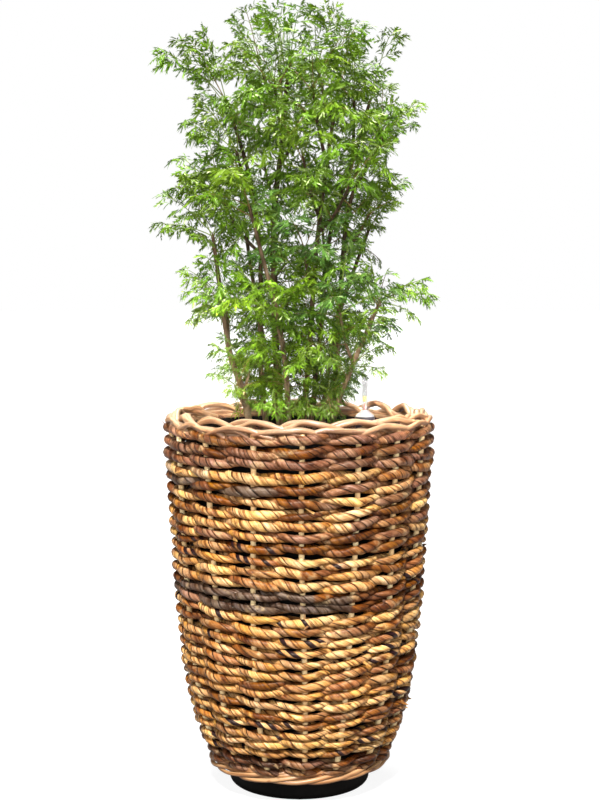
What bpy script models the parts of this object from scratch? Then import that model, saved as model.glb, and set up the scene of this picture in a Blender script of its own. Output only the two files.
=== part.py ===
"""Potted ming aralia: ten leafy stems in a black liner pot, inside a tall twined basket.

Metres, +Z up. The origin is on the ground under the middle of the liner's foot, and -Y faces the viewer.
"""

import math
import random

import bmesh
import bpy
from mathutils import Matrix, Vector
from mathutils.bvhtree import BVHTree

# Gap between pieces that touch, and the smallest clear space kept round a blade
GAP = 0.0003
BLADE_CLEARANCE = 0.0012

# Basket: outer radius over its ropes, from the bottom edge to the top row
BASKET_TOP_RADIUS = 0.204
BASKET_BOTTOM = 0.0447
BASKET_TOP = 0.5463
BASKET_TAPER = 0.052
BASKET_TUCK = 0.0435
BASKET_TUCK_FALL = 0.08
BASKET_TUCK_BASE = 0.037
BASKET_WALL = 0.031
STAKES = 16
COLUMNS_A_STAKE = 3
ROPE_ROWS = 18
ROPE_DIP = 0.003
ROPE_SLOPE = 0.0042
GROOVE_AT_STAKE = 0.007
GROOVE_BETWEEN = 0.0125

# Plaited border on the top edge
RIM_RADIUS = 0.1865
RIM_WIDTH = 0.0105
RIM_LOW = BASKET_TOP + GAP
RIM_TOP = 0.567
RIM_WAVE = 0.0026
RIM_TWIST = 0.0012
RIM_RODS = 3
RIM_POINTS = 7
RIM_COLUMNS = 64

# Twisted rod border under the bottom edge
BASE_RADIUS = 0.1313
BASE_WIDTH = 0.0068
BASE_LOW = 0.0305
BASE_TOP = BASKET_BOTTOM - GAP
BASE_TWIST = 0.1
BASE_POINTS = 6
BASE_COLUMNS = 48

# Liner pot
POT_SIDES = 24
POT_WALL = 0.003
POT_TOP = 0.552
POT_FLOOR = 0.006
FOOT_RADIUS = 0.1062
FOOT_ROUNDING = 0.010
FOOT_STEPS = 2
WALL_LEVELS = (BASKET_BOTTOM, 0.078, 0.125, 0.20, 0.33, BASKET_TOP)

# Granules that fill the pot
SOIL_TOP = 0.530
ROOT_DEPTH = 0.060
HOLE_SIDES = 8

# Water gauge
GAUGE_PLACE = (0.0985, 0.0)
GAUGE_SIDES = 12
GAUGE_SHAFT_RADIUS = 0.010
GAUGE_SHAFT_BOTTOM = 0.100
GAUGE_CONE_RADIUS = 0.0150
GAUGE_CONE_TOP_RADIUS = 0.0075
GAUGE_CONE_TOP = 0.5655
GAUGE_CONE_SKIRT = 0.004
GAUGE_TUBE_RADIUS = 0.0046
GAUGE_TUBE_WALL = 0.0011
GAUGE_TUBE_TOP = 0.6165
GAUGE_TUBE_BEVEL = 0.0015
GAUGE_FLOAT_RADIUS = 0.0028
GAUGE_FLOAT_TOP = 0.5875

# Blades: one frond is a thin arched blade whose leaflets are cut to the rib
BLADE_THICKNESS = 0.0009
RIB_HALF_WIDTH = 0.0011
FROND_ARCH = 0.16
LEAFLET_PAIRS = 7
FIRST_LEAFLET = 0.26
LAST_LEAFLET = 0.92
LEAFLET_REACH = 0.30
LEAFLET_LEAN = 0.62
LEAFLET_DROOP = 0.22
LONG_LEAFLET = 1.06
SHORT_LEAFLET = 0.86

# Wood: sides and spacing of the points along stems and branches
STEM_SIDES = 6
STEM_SPACING = 0.065
BRANCH_SIDES = 4
BRANCH_SPACING = 0.05
BRANCH_RADIUS = 0.0026
BRANCH_TAPER = 0.25
BRANCH_SAG = 0.12
STEM_UPRIGHT = 0.004
AT_TIP = None

# Each stem: radius at the soil and at the top, and its places from the soil up
STEMS = (
    ("leafy_stem_01", 0.0066, 0.0032, [(-0.026, -0.012, 0.0), (-0.033, -0.016, 0.62), (-0.037, -0.014, 0.74),
                                       (-0.038, -0.008, 0.86), (-0.024, -0.006, 0.97), (-0.018, -0.014, 1.055)]),
    ("leafy_stem_02", 0.0058, 0.0026, [(-0.070, -0.052, 0.0), (-0.082, -0.058, 0.60), (-0.101, -0.062, 0.65),
                                       (-0.112, -0.050, 0.72), (-0.128, -0.028, 0.83)]),
    ("leafy_stem_03", 0.0045, 0.0024, [(-0.050, 0.020, 0.0), (-0.060, 0.018, 0.65), (-0.058, 0.012, 0.80),
                                       (-0.075, 0.010, 0.92), (-0.110, 0.004, 1.03)]),
    ("leafy_stem_04", 0.0045, 0.0024, [(0.004, -0.044, 0.0), (0.014, -0.050, 0.65), (0.024, -0.056, 0.80),
                                       (0.040, -0.052, 0.93), (0.058, -0.034, 1.05)]),
    ("leafy_stem_05", 0.0045, 0.0024, [(0.016, 0.036, 0.0), (0.030, 0.040, 0.65), (0.044, 0.036, 0.82),
                                       (0.080, 0.026, 0.94), (0.106, 0.010, 1.03)]),
    ("leafy_stem_06", 0.0045, 0.0024, [(0.044, -0.008, 0.0), (0.056, -0.010, 0.65), (0.064, -0.012, 0.79),
                                       (0.078, -0.016, 0.89), (0.124, -0.024, 0.97)]),
    ("leafy_stem_07", 0.0052, 0.0024, [(0.042, -0.066, 0.0), (0.058, -0.074, 0.59), (0.078, -0.070, 0.64),
                                       (0.100, -0.052, 0.69), (0.122, -0.030, 0.735)]),
    ("leafy_stem_08", 0.0045, 0.0024, [(-0.014, -0.082, 0.0), (-0.018, -0.102, 0.62), (-0.032, -0.118, 0.72),
                                       (-0.054, -0.112, 0.80), (-0.072, -0.100, 0.87)]),
    ("leafy_stem_09", 0.0045, 0.0024, [(0.034, 0.078, 0.0), (0.048, 0.102, 0.64), (0.066, 0.120, 0.72),
                                       (0.090, 0.106, 0.79), (0.108, 0.086, 0.84)]),
    ("leafy_stem_10", 0.0045, 0.0024, [(-0.030, 0.074, 0.0), (-0.052, 0.104, 0.64), (-0.066, 0.120, 0.72),
                                       (-0.078, 0.116, 0.79), (-0.086, 0.104, 0.86)]),
)

# Each spray: its stem, the height where its branch leaves the stem or AT_TIP, its end, the frond tips that
# shape the outline, the number of fronds on it, and their length
SPRAYS = (
    (1, AT_TIP, (-0.018, -0.014, 1.055), [(-0.048, -0.030, 1.168), (0.004, -0.050, 1.163)], 9, 0.135),
    (1, 0.930, (0.000, 0.078, 1.010), [(0.002, 0.150, 1.120), (0.040, 0.185, 1.020)], 8, 0.155),
    (1, 0.880, (-0.058, 0.090, 0.960), [(-0.110, 0.175, 1.030), (-0.150, 0.150, 0.960)], 8, 0.160),
    (3, AT_TIP, (-0.110, 0.004, 1.030), [(-0.223, -0.010, 1.106), (-0.186, -0.030, 1.132), (-0.148, 0.000, 1.146)],
     9, 0.140),
    (3, 0.880, (-0.092, -0.060, 0.950), [(-0.158, -0.080, 1.034), (-0.182, -0.050, 0.998)], 8, 0.150),
    (3, 0.800, (-0.122, 0.034, 0.890), [(-0.201, 0.050, 0.960), (-0.215, 0.070, 0.900)], 8, 0.150),
    (4, AT_TIP, (0.058, -0.034, 1.050), [(0.034, -0.060, 1.160), (0.090, -0.070, 1.140)], 9, 0.135),
    (4, 0.850, (0.004, -0.110, 0.940), [(-0.030, -0.205, 1.010), (0.030, -0.210, 0.965)], 8, 0.150),
    (4, 0.830, (0.074, -0.100, 0.900), [(0.130, -0.185, 0.955), (0.080, -0.205, 0.890)], 8, 0.155),
    (4, 0.740, (0.006, -0.106, 0.810), [(-0.020, -0.210, 0.850), (0.040, -0.205, 0.800)], 7, 0.150),
    (5, AT_TIP, (0.106, 0.010, 1.030), [(0.142, -0.010, 1.142), (0.165, 0.040, 1.105)], 9, 0.140),
    (5, 0.860, (0.094, 0.080, 0.950), [(0.165, 0.140, 1.010), (0.110, 0.190, 0.960)], 8, 0.155),
    (5, 0.790, (0.034, 0.112, 0.870), [(0.030, 0.205, 0.930), (0.090, 0.200, 0.880)], 8, 0.155),
    (6, AT_TIP, (0.124, -0.024, 0.970), [(0.187, -0.040, 1.030), (0.181, -0.020, 0.995)], 8, 0.135),
    (6, 0.800, (0.104, -0.006, 0.860), [(0.170, -0.010, 0.917), (0.158, -0.050, 0.870), (0.150, 0.050, 0.845)],
     8, 0.140),
    (2, AT_TIP, (-0.128, -0.028, 0.830), [(-0.219, -0.020, 0.896), (-0.227, -0.020, 0.842)], 9, 0.145),
    (2, 0.660, (-0.106, -0.034, 0.730), [(-0.184, -0.040, 0.785), (-0.182, -0.060, 0.745), (-0.172, -0.030, 0.697)],
     9, 0.140),
    (2, 0.600, (-0.072, -0.082, 0.630), [(-0.134, -0.110, 0.673), (-0.129, -0.100, 0.636)], 7, 0.110),
    (7, AT_TIP, (0.122, -0.030, 0.735), [(0.211, -0.030, 0.736), (0.199, -0.040, 0.765), (0.189, -0.010, 0.698)],
     9, 0.140),
    (7, 0.600, (0.076, -0.088, 0.640), [(0.139, -0.110, 0.674), (0.134, -0.100, 0.628)], 7, 0.110),
    (7, 0.640, (0.054, -0.128, 0.730), [(0.090, -0.215, 0.775), (0.040, -0.225, 0.735)], 8, 0.145),
    (8, 0.660, (-0.034, -0.128, 0.720), [(-0.060, -0.220, 0.760), (-0.110, -0.190, 0.735)], 8, 0.145),
    (8, AT_TIP, (-0.072, -0.100, 0.870), [(-0.110, -0.195, 0.925), (-0.150, -0.150, 0.880)], 8, 0.150),
    (8, 0.580, (-0.002, -0.112, 0.640), [(-0.030, -0.175, 0.665), (0.025, -0.180, 0.655)], 8, 0.100),
    (9, 0.680, (0.062, 0.128, 0.720), [(0.080, 0.215, 0.765), (0.140, 0.180, 0.735)], 8, 0.145),
    (9, AT_TIP, (0.108, 0.086, 0.840), [(0.190, 0.110, 0.885), (0.160, 0.165, 0.845)], 8, 0.140),
    (9, 0.590, (0.030, 0.112, 0.640), [(0.020, 0.180, 0.670), (0.080, 0.150, 0.665)], 7, 0.100),
    (10, 0.680, (-0.068, 0.128, 0.720), [(-0.090, 0.215, 0.765), (-0.145, 0.175, 0.730)], 8, 0.145),
    (10, AT_TIP, (-0.086, 0.104, 0.860), [(-0.130, 0.190, 0.910), (-0.185, 0.140, 0.860)], 8, 0.145),
    (10, 0.590, (-0.050, 0.110, 0.640), [(-0.060, 0.175, 0.670), (-0.110, 0.130, 0.665)], 7, 0.100),
    (10, 0.740, (-0.020, 0.126, 0.790), [(-0.020, 0.210, 0.830), (0.020, 0.200, 0.790)], 7, 0.145),
)

# How the fronds of a spray fan out: later ones start lower down and droop more
SOLID_FRONDS_A_SPRAY = 2
GOLDEN_ANGLE = math.radians(137.5)
FROND_STEP = 0.004
FIRST_RISE = 62
RISE_STEP = 14
RISE_CHANCE = 8
OUTWARD_LEAN = 0.45
MOST_ROLL = 0.5
ROOT_SHARE = 0.14


def clear_scene():
    """Removes every object of the file that the script starts in."""
    for old in list(bpy.data.objects):
        bpy.data.objects.remove(old, do_unlink=True)


def make_material(name, colour, roughness, metallic=0.0, transmission=0.0):
    """A Principled BSDF with one colour, given in linear RGB."""
    material = bpy.data.materials.new(name)
    material.use_nodes = True
    shader = material.node_tree.nodes["Principled BSDF"]
    shader.inputs["Base Color"].default_value = (*colour, 1.0)
    shader.inputs["Roughness"].default_value = roughness
    shader.inputs["Metallic"].default_value = metallic
    shader.inputs["Transmission Weight"].default_value = transmission
    material.diffuse_color = (*colour, 1.0)
    return material


def add_object(name, mesh, material):
    """Links a named object that carries the mesh and one material."""
    mesh.materials.clear()
    mesh.materials.append(material)
    made = bpy.data.objects.new(name, mesh)
    bpy.context.scene.collection.objects.link(made)
    return made


def mesh_of(name, points, faces):
    """A mesh from points and faces, with its normals turned outwards."""
    mesh = bpy.data.meshes.new(name)
    mesh.from_pydata([tuple(point) for point in points], [], faces)
    work = bmesh.new()
    work.from_mesh(mesh)
    bmesh.ops.recalc_face_normals(work, faces=work.faces)
    work.to_mesh(mesh)
    work.free()
    return mesh


def grid_faces(loops, count, closed):
    """Quads between neighbouring loops of count points; closed joins the last loop to the first."""
    faces = []
    for loop in range(loops if closed else loops - 1):
        here = loop * count
        there = (loop + 1) % loops * count
        for k in range(count):
            after = (k + 1) % count
            faces.append((here + k, here + after, there + after, there + k))
    return faces


def smooth_round(made, degrees=35):
    """Shades round pieces smooth, with creases kept."""
    made.data.shade_smooth()
    made.data.set_sharp_from_angle(angle=math.radians(degrees))


def turned(name, profile, sides, material, place=(0.0, 0.0)):
    """A solid turned round the vertical; the profile's first and last points lie on the axis."""
    points = [(place[0], place[1], profile[0][1])]
    for radius, height in profile[1:-1]:
        for k in range(sides):
            angle = 2 * math.pi * k / sides
            points.append((place[0] + radius * math.sin(angle), place[1] - radius * math.cos(angle), height))
    points.append((place[0], place[1], profile[-1][1]))
    rings = len(profile) - 2
    last = len(points) - 1
    faces = [tuple(1 + index for index in face) for face in grid_faces(rings, sides, closed=False)]
    for k in range(sides):
        after = (k + 1) % sides
        faces.append((0, 1 + after, 1 + k))
        faces.append((last, last - sides + k, last - sides + after))
    made = add_object(name, mesh_of(name, points, faces), material)
    smooth_round(made)
    return made


def basket_radius(height):
    """Outer radius of the basket over the crests of its ropes."""
    tuck = BASKET_TUCK * math.exp((BASKET_TUCK_BASE - height) / BASKET_TUCK_FALL)
    return BASKET_TOP_RADIUS - BASKET_TAPER * (BASKET_TOP - height) - tuck


def wall_inner_radius(height):
    """Inner radius of the basket's wall."""
    return basket_radius(height) - BASKET_WALL


def make_basket_weave(material):
    """The wall of twined ropes over upright stakes, as one solid with the weave raised on its outside.

    Each row has a strand in front of every stake, which comes up from the left and dips to the right.
    """
    columns = STAKES * COLUMNS_A_STAKE
    pitch = (BASKET_TOP - BASKET_BOTTOM) / ROPE_ROWS
    loops = []
    for level in range(2 * ROPE_ROWS + 1):
        height = BASKET_BOTTOM + level * pitch / 2
        on_crest = level % 2 == 1
        at_edge = level in (0, 2 * ROPE_ROWS)
        loop = []
        for column in range(columns):
            angle = 2 * math.pi * column / columns
            step = column % COLUMNS_A_STAKE
            slope = (0.0, -1.0, 1.0)[step]
            radius = basket_radius(height)
            place = height
            if on_crest:
                radius -= ROPE_DIP * abs(slope)
                place += ROPE_SLOPE * slope
            elif at_edge:
                radius -= GROOVE_AT_STAKE
            else:
                radius -= GROOVE_BETWEEN if slope else GROOVE_AT_STAKE
            loop.append((radius * math.sin(angle), -radius * math.cos(angle), place))
        loops.append(loop)
    for height in reversed(WALL_LEVELS):
        radius = wall_inner_radius(height)
        angles = [2 * math.pi * column / columns for column in range(columns)]
        loops.append([(radius * math.sin(angle), -radius * math.cos(angle), height) for angle in angles])
    points = [point for loop in loops for point in loop]
    faces = grid_faces(len(loops), columns, closed=True)
    made = add_object("basket_weave", mesh_of("basket_weave", points, faces), material)
    smooth_round(made, 50)
    return made


def ring(name, columns, section, material):
    """A closed ring; section(angle) gives its (radius, height) points at that angle."""
    points = []
    for column in range(columns):
        angle = 2 * math.pi * column / columns
        for radius, height in section(angle):
            points.append((radius * math.sin(angle), -radius * math.cos(angle), height))
    count = len(points) // columns
    made = add_object(name, mesh_of(name, points, grid_faces(columns, count, closed=True)), material)
    smooth_round(made, 50)
    return made


def rim_section(angle):
    """One slice of the plaited top border, higher over each stake, with its rods' twist in the outline."""
    centre = (RIM_LOW + RIM_TOP) / 2
    half_height = (RIM_TOP - RIM_LOW) / 2
    points = []
    highest = math.sin(math.pi * 3 / RIM_POINTS)
    for k in range(RIM_POINTS):
        turn = 2 * math.pi * (k + 0.5) / RIM_POINTS
        bulge = RIM_TWIST * math.cos(RIM_RODS * turn - STAKES * angle)
        radius = RIM_RADIUS + (RIM_WIDTH + bulge) * math.cos(turn)
        lift = RIM_WAVE * (math.cos(STAKES * angle) - 1) * max(math.sin(turn), 0.0)
        points.append((radius, centre + half_height * math.sin(turn) / highest + lift))
    return points


def base_section(angle):
    """One slice of the bottom border, a twist of long rods."""
    centre = (BASE_LOW + BASE_TOP) / 2
    half_height = (BASE_TOP - BASE_LOW) / 2
    points = []
    highest = math.sin(math.pi * 2 / BASE_POINTS)
    for k in range(BASE_POINTS):
        turn = 2 * math.pi * k / BASE_POINTS
        bulge = 1 - BASE_TWIST + BASE_TWIST * math.cos(2 * turn - STAKES / 2 * angle)
        radius = BASE_RADIUS + BASE_WIDTH * bulge * math.cos(turn)
        points.append((radius, centre + half_height * math.sin(turn) / highest))
    return points


def make_liner_pot(material):
    """The black cup that stands on the ground; its base shows as the planter's foot."""
    fit = math.cos(math.pi / (STAKES * COLUMNS_A_STAKE))
    outside = [(0.0, 0.0)]
    for step in range(FOOT_STEPS + 1):
        turn = math.pi / 2 * step / FOOT_STEPS
        outside.append((FOOT_RADIUS - FOOT_ROUNDING * (1 - math.sin(turn)), FOOT_ROUNDING * (1 - math.cos(turn))))
    outside += [(wall_inner_radius(height) * fit - GAP, height) for height in WALL_LEVELS]
    outside.append((outside[-1][0], POT_TOP))
    inside = [(radius - POT_WALL, height) for radius, height in reversed(outside[FOOT_STEPS + 1 :])]
    inside.append((FOOT_RADIUS - POT_WALL - FOOT_ROUNDING / 2, POT_FLOOR))
    inside.append((0.0, POT_FLOOR))
    return turned("liner_pot", outside + inside, POT_SIDES, material)


def pot_inner_profile():
    """The (radius, height) points of the pot's inner wall between its floor and the soil's top."""
    fit = math.cos(math.pi / (STAKES * COLUMNS_A_STAKE))
    heights = [height for height in WALL_LEVELS if height < SOIL_TOP]
    profile = [(wall_inner_radius(height) * fit - GAP - POT_WALL, height) for height in heights]
    top_radius = wall_inner_radius(BASKET_TOP) * fit - GAP - POT_WALL
    share = (SOIL_TOP - heights[-1]) / (BASKET_TOP - heights[-1])
    profile.append((profile[-1][0] + share * (top_radius - profile[-1][0]), SOIL_TOP))
    return profile


def make_substrate(material):
    """The granules that fill the pot, with a plain hole for each stem and for the gauge's shaft."""
    inner = pot_inner_profile()
    profile = [(0.0, POT_FLOOR + GAP), (FOOT_RADIUS - POT_WALL - FOOT_ROUNDING / 2 - GAP, POT_FLOOR + GAP)]
    profile.append((FOOT_RADIUS - POT_WALL - GAP, FOOT_ROUNDING + GAP))
    profile += [(radius - GAP, height) for radius, height in inner]
    profile.append((0.0, SOIL_TOP))
    made = turned("substrate", profile, POT_SIDES, material)
    holes = []
    for _, radius, _, places in STEMS:
        wide = radius / math.cos(math.pi / HOLE_SIDES) + GAP
        holes.append((places[0][0], places[0][1], wide, SOIL_TOP - ROOT_DEPTH - GAP))
    shaft = GAUGE_SHAFT_RADIUS / math.cos(math.pi / HOLE_SIDES) + GAP
    holes.append((*GAUGE_PLACE, shaft, GAUGE_SHAFT_BOTTOM - GAP))
    above = SOIL_TOP + 0.01
    cutters = []
    for x, y, radius, low in holes:
        profile = [(0.0, low), (radius, low), (radius, above), (0.0, above)]
        cutters.append(turned("hole", profile, HOLE_SIDES, material, place=(x, y)))
    combine(made, cutters, "DIFFERENCE")
    return made


def combine(target, others, operation):
    """Applies one Boolean with a collection of the other objects, and removes them."""
    group = bpy.data.collections.new("operands")
    bpy.context.scene.collection.children.link(group)
    for other in others:
        bpy.context.scene.collection.objects.unlink(other)
        group.objects.link(other)
    cut = target.modifiers.new("combine", "BOOLEAN")
    cut.operand_type = "COLLECTION"
    cut.collection = group
    cut.operation = operation
    cut.solver = "EXACT"
    graph = bpy.context.evaluated_depsgraph_get()
    graph.update()
    result = bpy.data.meshes.new_from_object(target.evaluated_get(graph))
    target.modifiers.remove(cut)
    old = target.data
    target.data = result
    bpy.data.meshes.remove(old)
    for other in list(group.objects):
        bpy.data.objects.remove(other, do_unlink=True)
    bpy.data.collections.remove(group)


def make_gauge(grey, clear, red):
    """The water gauge: a grey cone on a shaft in the soil, a clear tube on it, and the float's red pin."""
    shaft = [(0.0, GAUGE_SHAFT_BOTTOM), (GAUGE_SHAFT_RADIUS, GAUGE_SHAFT_BOTTOM),
             (GAUGE_SHAFT_RADIUS, SOIL_TOP + GAP)]
    cone = [(GAUGE_CONE_RADIUS, SOIL_TOP + GAP), (GAUGE_CONE_RADIUS, SOIL_TOP + GAUGE_CONE_SKIRT),
            (GAUGE_CONE_TOP_RADIUS, GAUGE_CONE_TOP), (0.0, GAUGE_CONE_TOP)]
    turned("water_gauge_base", shaft + cone, GAUGE_SIDES, grey, place=GAUGE_PLACE)
    low = GAUGE_CONE_TOP + GAP
    inner = GAUGE_TUBE_RADIUS - GAUGE_TUBE_WALL
    tube = [(0.0, GAUGE_TUBE_TOP - GAUGE_TUBE_WALL), (inner, GAUGE_TUBE_TOP - GAUGE_TUBE_WALL), (inner, low),
            (GAUGE_TUBE_RADIUS, low), (GAUGE_TUBE_RADIUS, GAUGE_TUBE_TOP - GAUGE_TUBE_BEVEL),
            (GAUGE_TUBE_RADIUS - GAUGE_TUBE_BEVEL, GAUGE_TUBE_TOP), (0.0, GAUGE_TUBE_TOP)]
    turned("water_gauge_tube", tube, GAUGE_SIDES, clear, place=GAUGE_PLACE)
    pin = [(0.0, low), (GAUGE_FLOAT_RADIUS, low), (GAUGE_FLOAT_RADIUS, GAUGE_FLOAT_TOP), (0.0, GAUGE_FLOAT_TOP)]
    turned("water_gauge_float", pin, GAUGE_SIDES - 4, red, place=GAUGE_PLACE)


def smooth_path(places, spacing):
    """Points along a smooth curve through the places, about the spacing apart (Catmull-Rom)."""
    places = [Vector(place) for place in places]
    padded = [2 * places[0] - places[1], *places, 2 * places[-1] - places[-2]]
    path = [places[0]]
    for i in range(1, len(padded) - 2):
        before, start, end, after = padded[i - 1 : i + 3]
        steps = max(1, round((end - start).length / spacing))
        for step in range(1, steps + 1):
            t = step / steps
            path.append(0.5 * (2 * start + (end - before) * t + (2 * before - 5 * start + 4 * end - after) * t * t
                               + (3 * start - before - 3 * end + after) * t * t * t))
    return path


def tube_mesh(name, path, radii, sides):
    """A closed tube along the path, with a radius at each of its points."""
    points = []
    across = None
    for i, centre in enumerate(path):
        along = (path[min(i + 1, len(path) - 1)] - path[max(i - 1, 0)]).normalized()
        if across is None:
            across = along.orthogonal().normalized()
        across = (across - along * across.dot(along)).normalized()
        other = along.cross(across)
        for k in range(sides):
            angle = 2 * math.pi * k / sides
            points.append(centre + radii[i] * (across * math.cos(angle) + other * math.sin(angle)))
    faces = grid_faces(len(path), sides, closed=False)
    faces.append(tuple(range(sides)))
    faces.append(tuple(len(points) - sides + k for k in range(sides)))
    return mesh_of(name, points, faces)


def stem_path(places):
    """The stem's curve: upright in its hole, then through its places."""
    x, y, _ = places[0]
    roots = [Vector((x, y, SOIL_TOP - ROOT_DEPTH)), Vector((x, y, SOIL_TOP + STEM_UPRIGHT))]
    return roots[:1] + smooth_path([roots[1], *places[1:]], STEM_SPACING)


def point_at_height(path, height):
    """The point of a rising path at that height."""
    for low, high in zip(path, path[1:]):
        if low.z <= height <= high.z:
            return low.lerp(high, (height - low.z) / (high.z - low.z))
    return path[-1]


def branch_path(path, leave_height, end):
    """A side branch: it leaves the stem upwards and bends out to its end."""
    start = point_at_height(path, leave_height)
    end = Vector(end)
    bend = start.lerp(end, 0.5) + Vector((0.0, 0.0, -BRANCH_SAG * (end - start).length))
    return smooth_path([start, bend, end], BRANCH_SPACING)


def frond_plan(index, spray, path):
    """The root, tip and roll of each frond of a spray: the outline's own tips first, then a golden-angle fan."""
    _, _, end, tips, count, length = spray
    chance = random.Random(100 + index)
    end = Vector(end)
    back = (path[-2] - path[-1]).normalized()
    outward = Vector((end.x, end.y, 0.0)).normalized()
    plan = []
    for k in range(count):
        root = end + back * (FROND_STEP * k)
        if k < len(tips):
            tip = Vector(tips[k])
        else:
            angle = index + k * GOLDEN_ANGLE
            rise = math.radians(FIRST_RISE - RISE_STEP * (k - len(tips)) + chance.uniform(-RISE_CHANCE, RISE_CHANCE))
            flat = Vector((math.cos(angle), math.sin(angle), 0.0))
            flat = (flat + OUTWARD_LEAN * outward).normalized()
            reach = length * (0.80 + 0.25 * flat.dot(outward)) * chance.uniform(0.85, 1.05)
            tip = root + reach * (flat * math.cos(rise) + Vector((0.0, 0.0, math.sin(rise))))
        plan.append((root, tip, chance.uniform(-MOST_ROLL, MOST_ROLL)))
    return plan


def frond_frame(root, tip, roll, share):
    """Place, direction, side and face of the rib at a share of its length: it rises, then arches over."""
    span = tip - root
    lift = Vector((0.0, 0.0, FROND_ARCH * span.length))
    middle = root.lerp(tip, 0.5) + lift
    place = root.lerp(middle, share).lerp(middle.lerp(tip, share), share)
    along = (2 * (1 - share) * (middle - root) + 2 * share * (tip - middle)).normalized()
    flat = Vector((span.x, span.y, 0.0)) + Vector((0.001, 0.0, 0.0))
    side = flat.cross(Vector((0.0, 0.0, 1.0))).normalized()
    side = (side - along * side.dot(along)).normalized()
    face = side.cross(along)
    turn = Matrix.Rotation(roll, 3, along)
    return place, along, turn @ side, turn @ face


def frond_mesh(name, root, tip, roll, thickness, first_share=0.0):
    """One frond: a thin arched blade, its pointed leaflets cut to the rib and drooping from it."""
    length = (tip - root).length
    sheet = []
    triangles = []
    leafy = LAST_LEAFLET - FIRST_LEAFLET
    shares = [first_share] + [FIRST_LEAFLET + leafy * k / LEAFLET_PAIRS for k in range(LEAFLET_PAIRS + 1)]

    def add(share, out, along_shift, droop):
        place, along, side, face = frond_frame(root, tip, roll, share)
        sheet.append((place + side * out + along * along_shift - face * droop, face))
        return len(sheet) - 1

    edges = [(add(share, -RIB_HALF_WIDTH, 0.0, 0.0), add(share, RIB_HALF_WIDTH, 0.0, 0.0)) for share in shares]
    for (left, right), (next_left, next_right) in zip(edges, edges[1:]):
        triangles += [(left, right, next_right), (left, next_right, next_left)]
    for k in range(LEAFLET_PAIRS):
        middle = (shares[k + 1] + shares[k + 2]) / 2
        swell = math.sin(math.pi * (0.16 + 0.62 * k / (LEAFLET_PAIRS - 1))) ** 0.8
        for hand in (0, 1):
            stagger = SHORT_LEAFLET if (k + hand) % 2 else LONG_LEAFLET
            out = LEAFLET_REACH * length * swell * stagger
            sign = 1 if hand else -1
            point = add(middle, sign * out, LEAFLET_LEAN * out, LEAFLET_DROOP * out)
            inner, outer = edges[k + 1][hand], edges[k + 2][hand]
            triangles.append((inner, point, outer) if hand else (outer, point, inner))
    point = add(1.0, 0.0, 0.0, 0.0)
    triangles.append((edges[-1][0], edges[-1][1], point))
    half = thickness / 2
    count = len(sheet)
    points = [place + face * half for place, face in sheet] + [place - face * half for place, face in sheet]
    faces = list(triangles) + [tuple(count + index for index in reversed(triangle)) for triangle in triangles]
    edges_used = set()
    for triangle in triangles:
        edges_used.update(zip(triangle, triangle[1:] + triangle[:1]))
    for a, b in sorted(edges_used):
        if (b, a) not in edges_used:
            faces.append((b, a, count + a))
            faces.append((b, count + a, count + b))
    return mesh_of(name, points, faces)


def search_tree(mesh):
    """A tree of the mesh's triangles, for tests of crossing."""
    work = bmesh.new()
    work.from_mesh(mesh)
    tree = BVHTree.FromBMesh(work)
    work.free()
    return tree


def make_plant(bark, leaves):
    """Ten leafy stems. A frond that would cross another piece is left out, and its spray's next one is tried."""
    paths = [stem_path(places) for _, _, _, places in STEMS]
    trees = []
    parts = {name: [] for name, _, _, _ in STEMS}
    for number, (name, low_radius, top_radius, _) in enumerate(STEMS):
        path = paths[number]
        shares = [i / (len(path) - 1) for i in range(len(path))]
        radii = [low_radius + (top_radius - low_radius) * share for share in shares]
        mesh = tube_mesh(name, path, radii, STEM_SIDES)
        parts[name].append(mesh)
        trees.append((("stem", number), search_tree(mesh)))
    branches = []
    for index, spray in enumerate(SPRAYS):
        number = spray[0] - 1
        if spray[1] is AT_TIP:
            branches.append(paths[number])
            continue
        path = branch_path(paths[number], spray[1], spray[2])
        radii = [BRANCH_RADIUS * (1.0 - BRANCH_TAPER * i / (len(path) - 1)) for i in range(len(path))]
        mesh = tube_mesh("branch", path, radii, BRANCH_SIDES)
        parts[STEMS[number][0]].append(mesh)
        branches.append(path)
        trees.append((("branch", index), search_tree(mesh)))
    for name in ("basket_rim_border", "basket_weave", "liner_pot", "substrate",
                 "water_gauge_base", "water_gauge_tube"):
        trees.append(((name, 0), search_tree(bpy.data.objects[name].data)))
    for index, spray in enumerate(SPRAYS):
        placed = 0
        for root, tip, roll in frond_plan(index, spray, branches[index]):
            if placed == SOLID_FRONDS_A_SPRAY:
                break
            wide = frond_mesh("space", root, tip, roll, BLADE_THICKNESS + 2 * BLADE_CLEARANCE, ROOT_SHARE)
            space = search_tree(wide)
            bpy.data.meshes.remove(wide)
            if any(tree.overlap(space) for _, tree in trees):
                continue
            mesh = frond_mesh("frond", root, tip, roll, BLADE_THICKNESS)
            parts[STEMS[spray[0] - 1][0]].append(mesh)
            trees.append((("frond", index), space))
            placed += 1
    for name, _, _, _ in STEMS:
        meshes = parts[name]
        stem = add_object(name, meshes[0], bark)
        others = [add_object("repeat", mesh, leaves) for mesh in meshes[1:]]
        combine(stem, others, "UNION")
        smooth_round(stem, 40)


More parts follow.
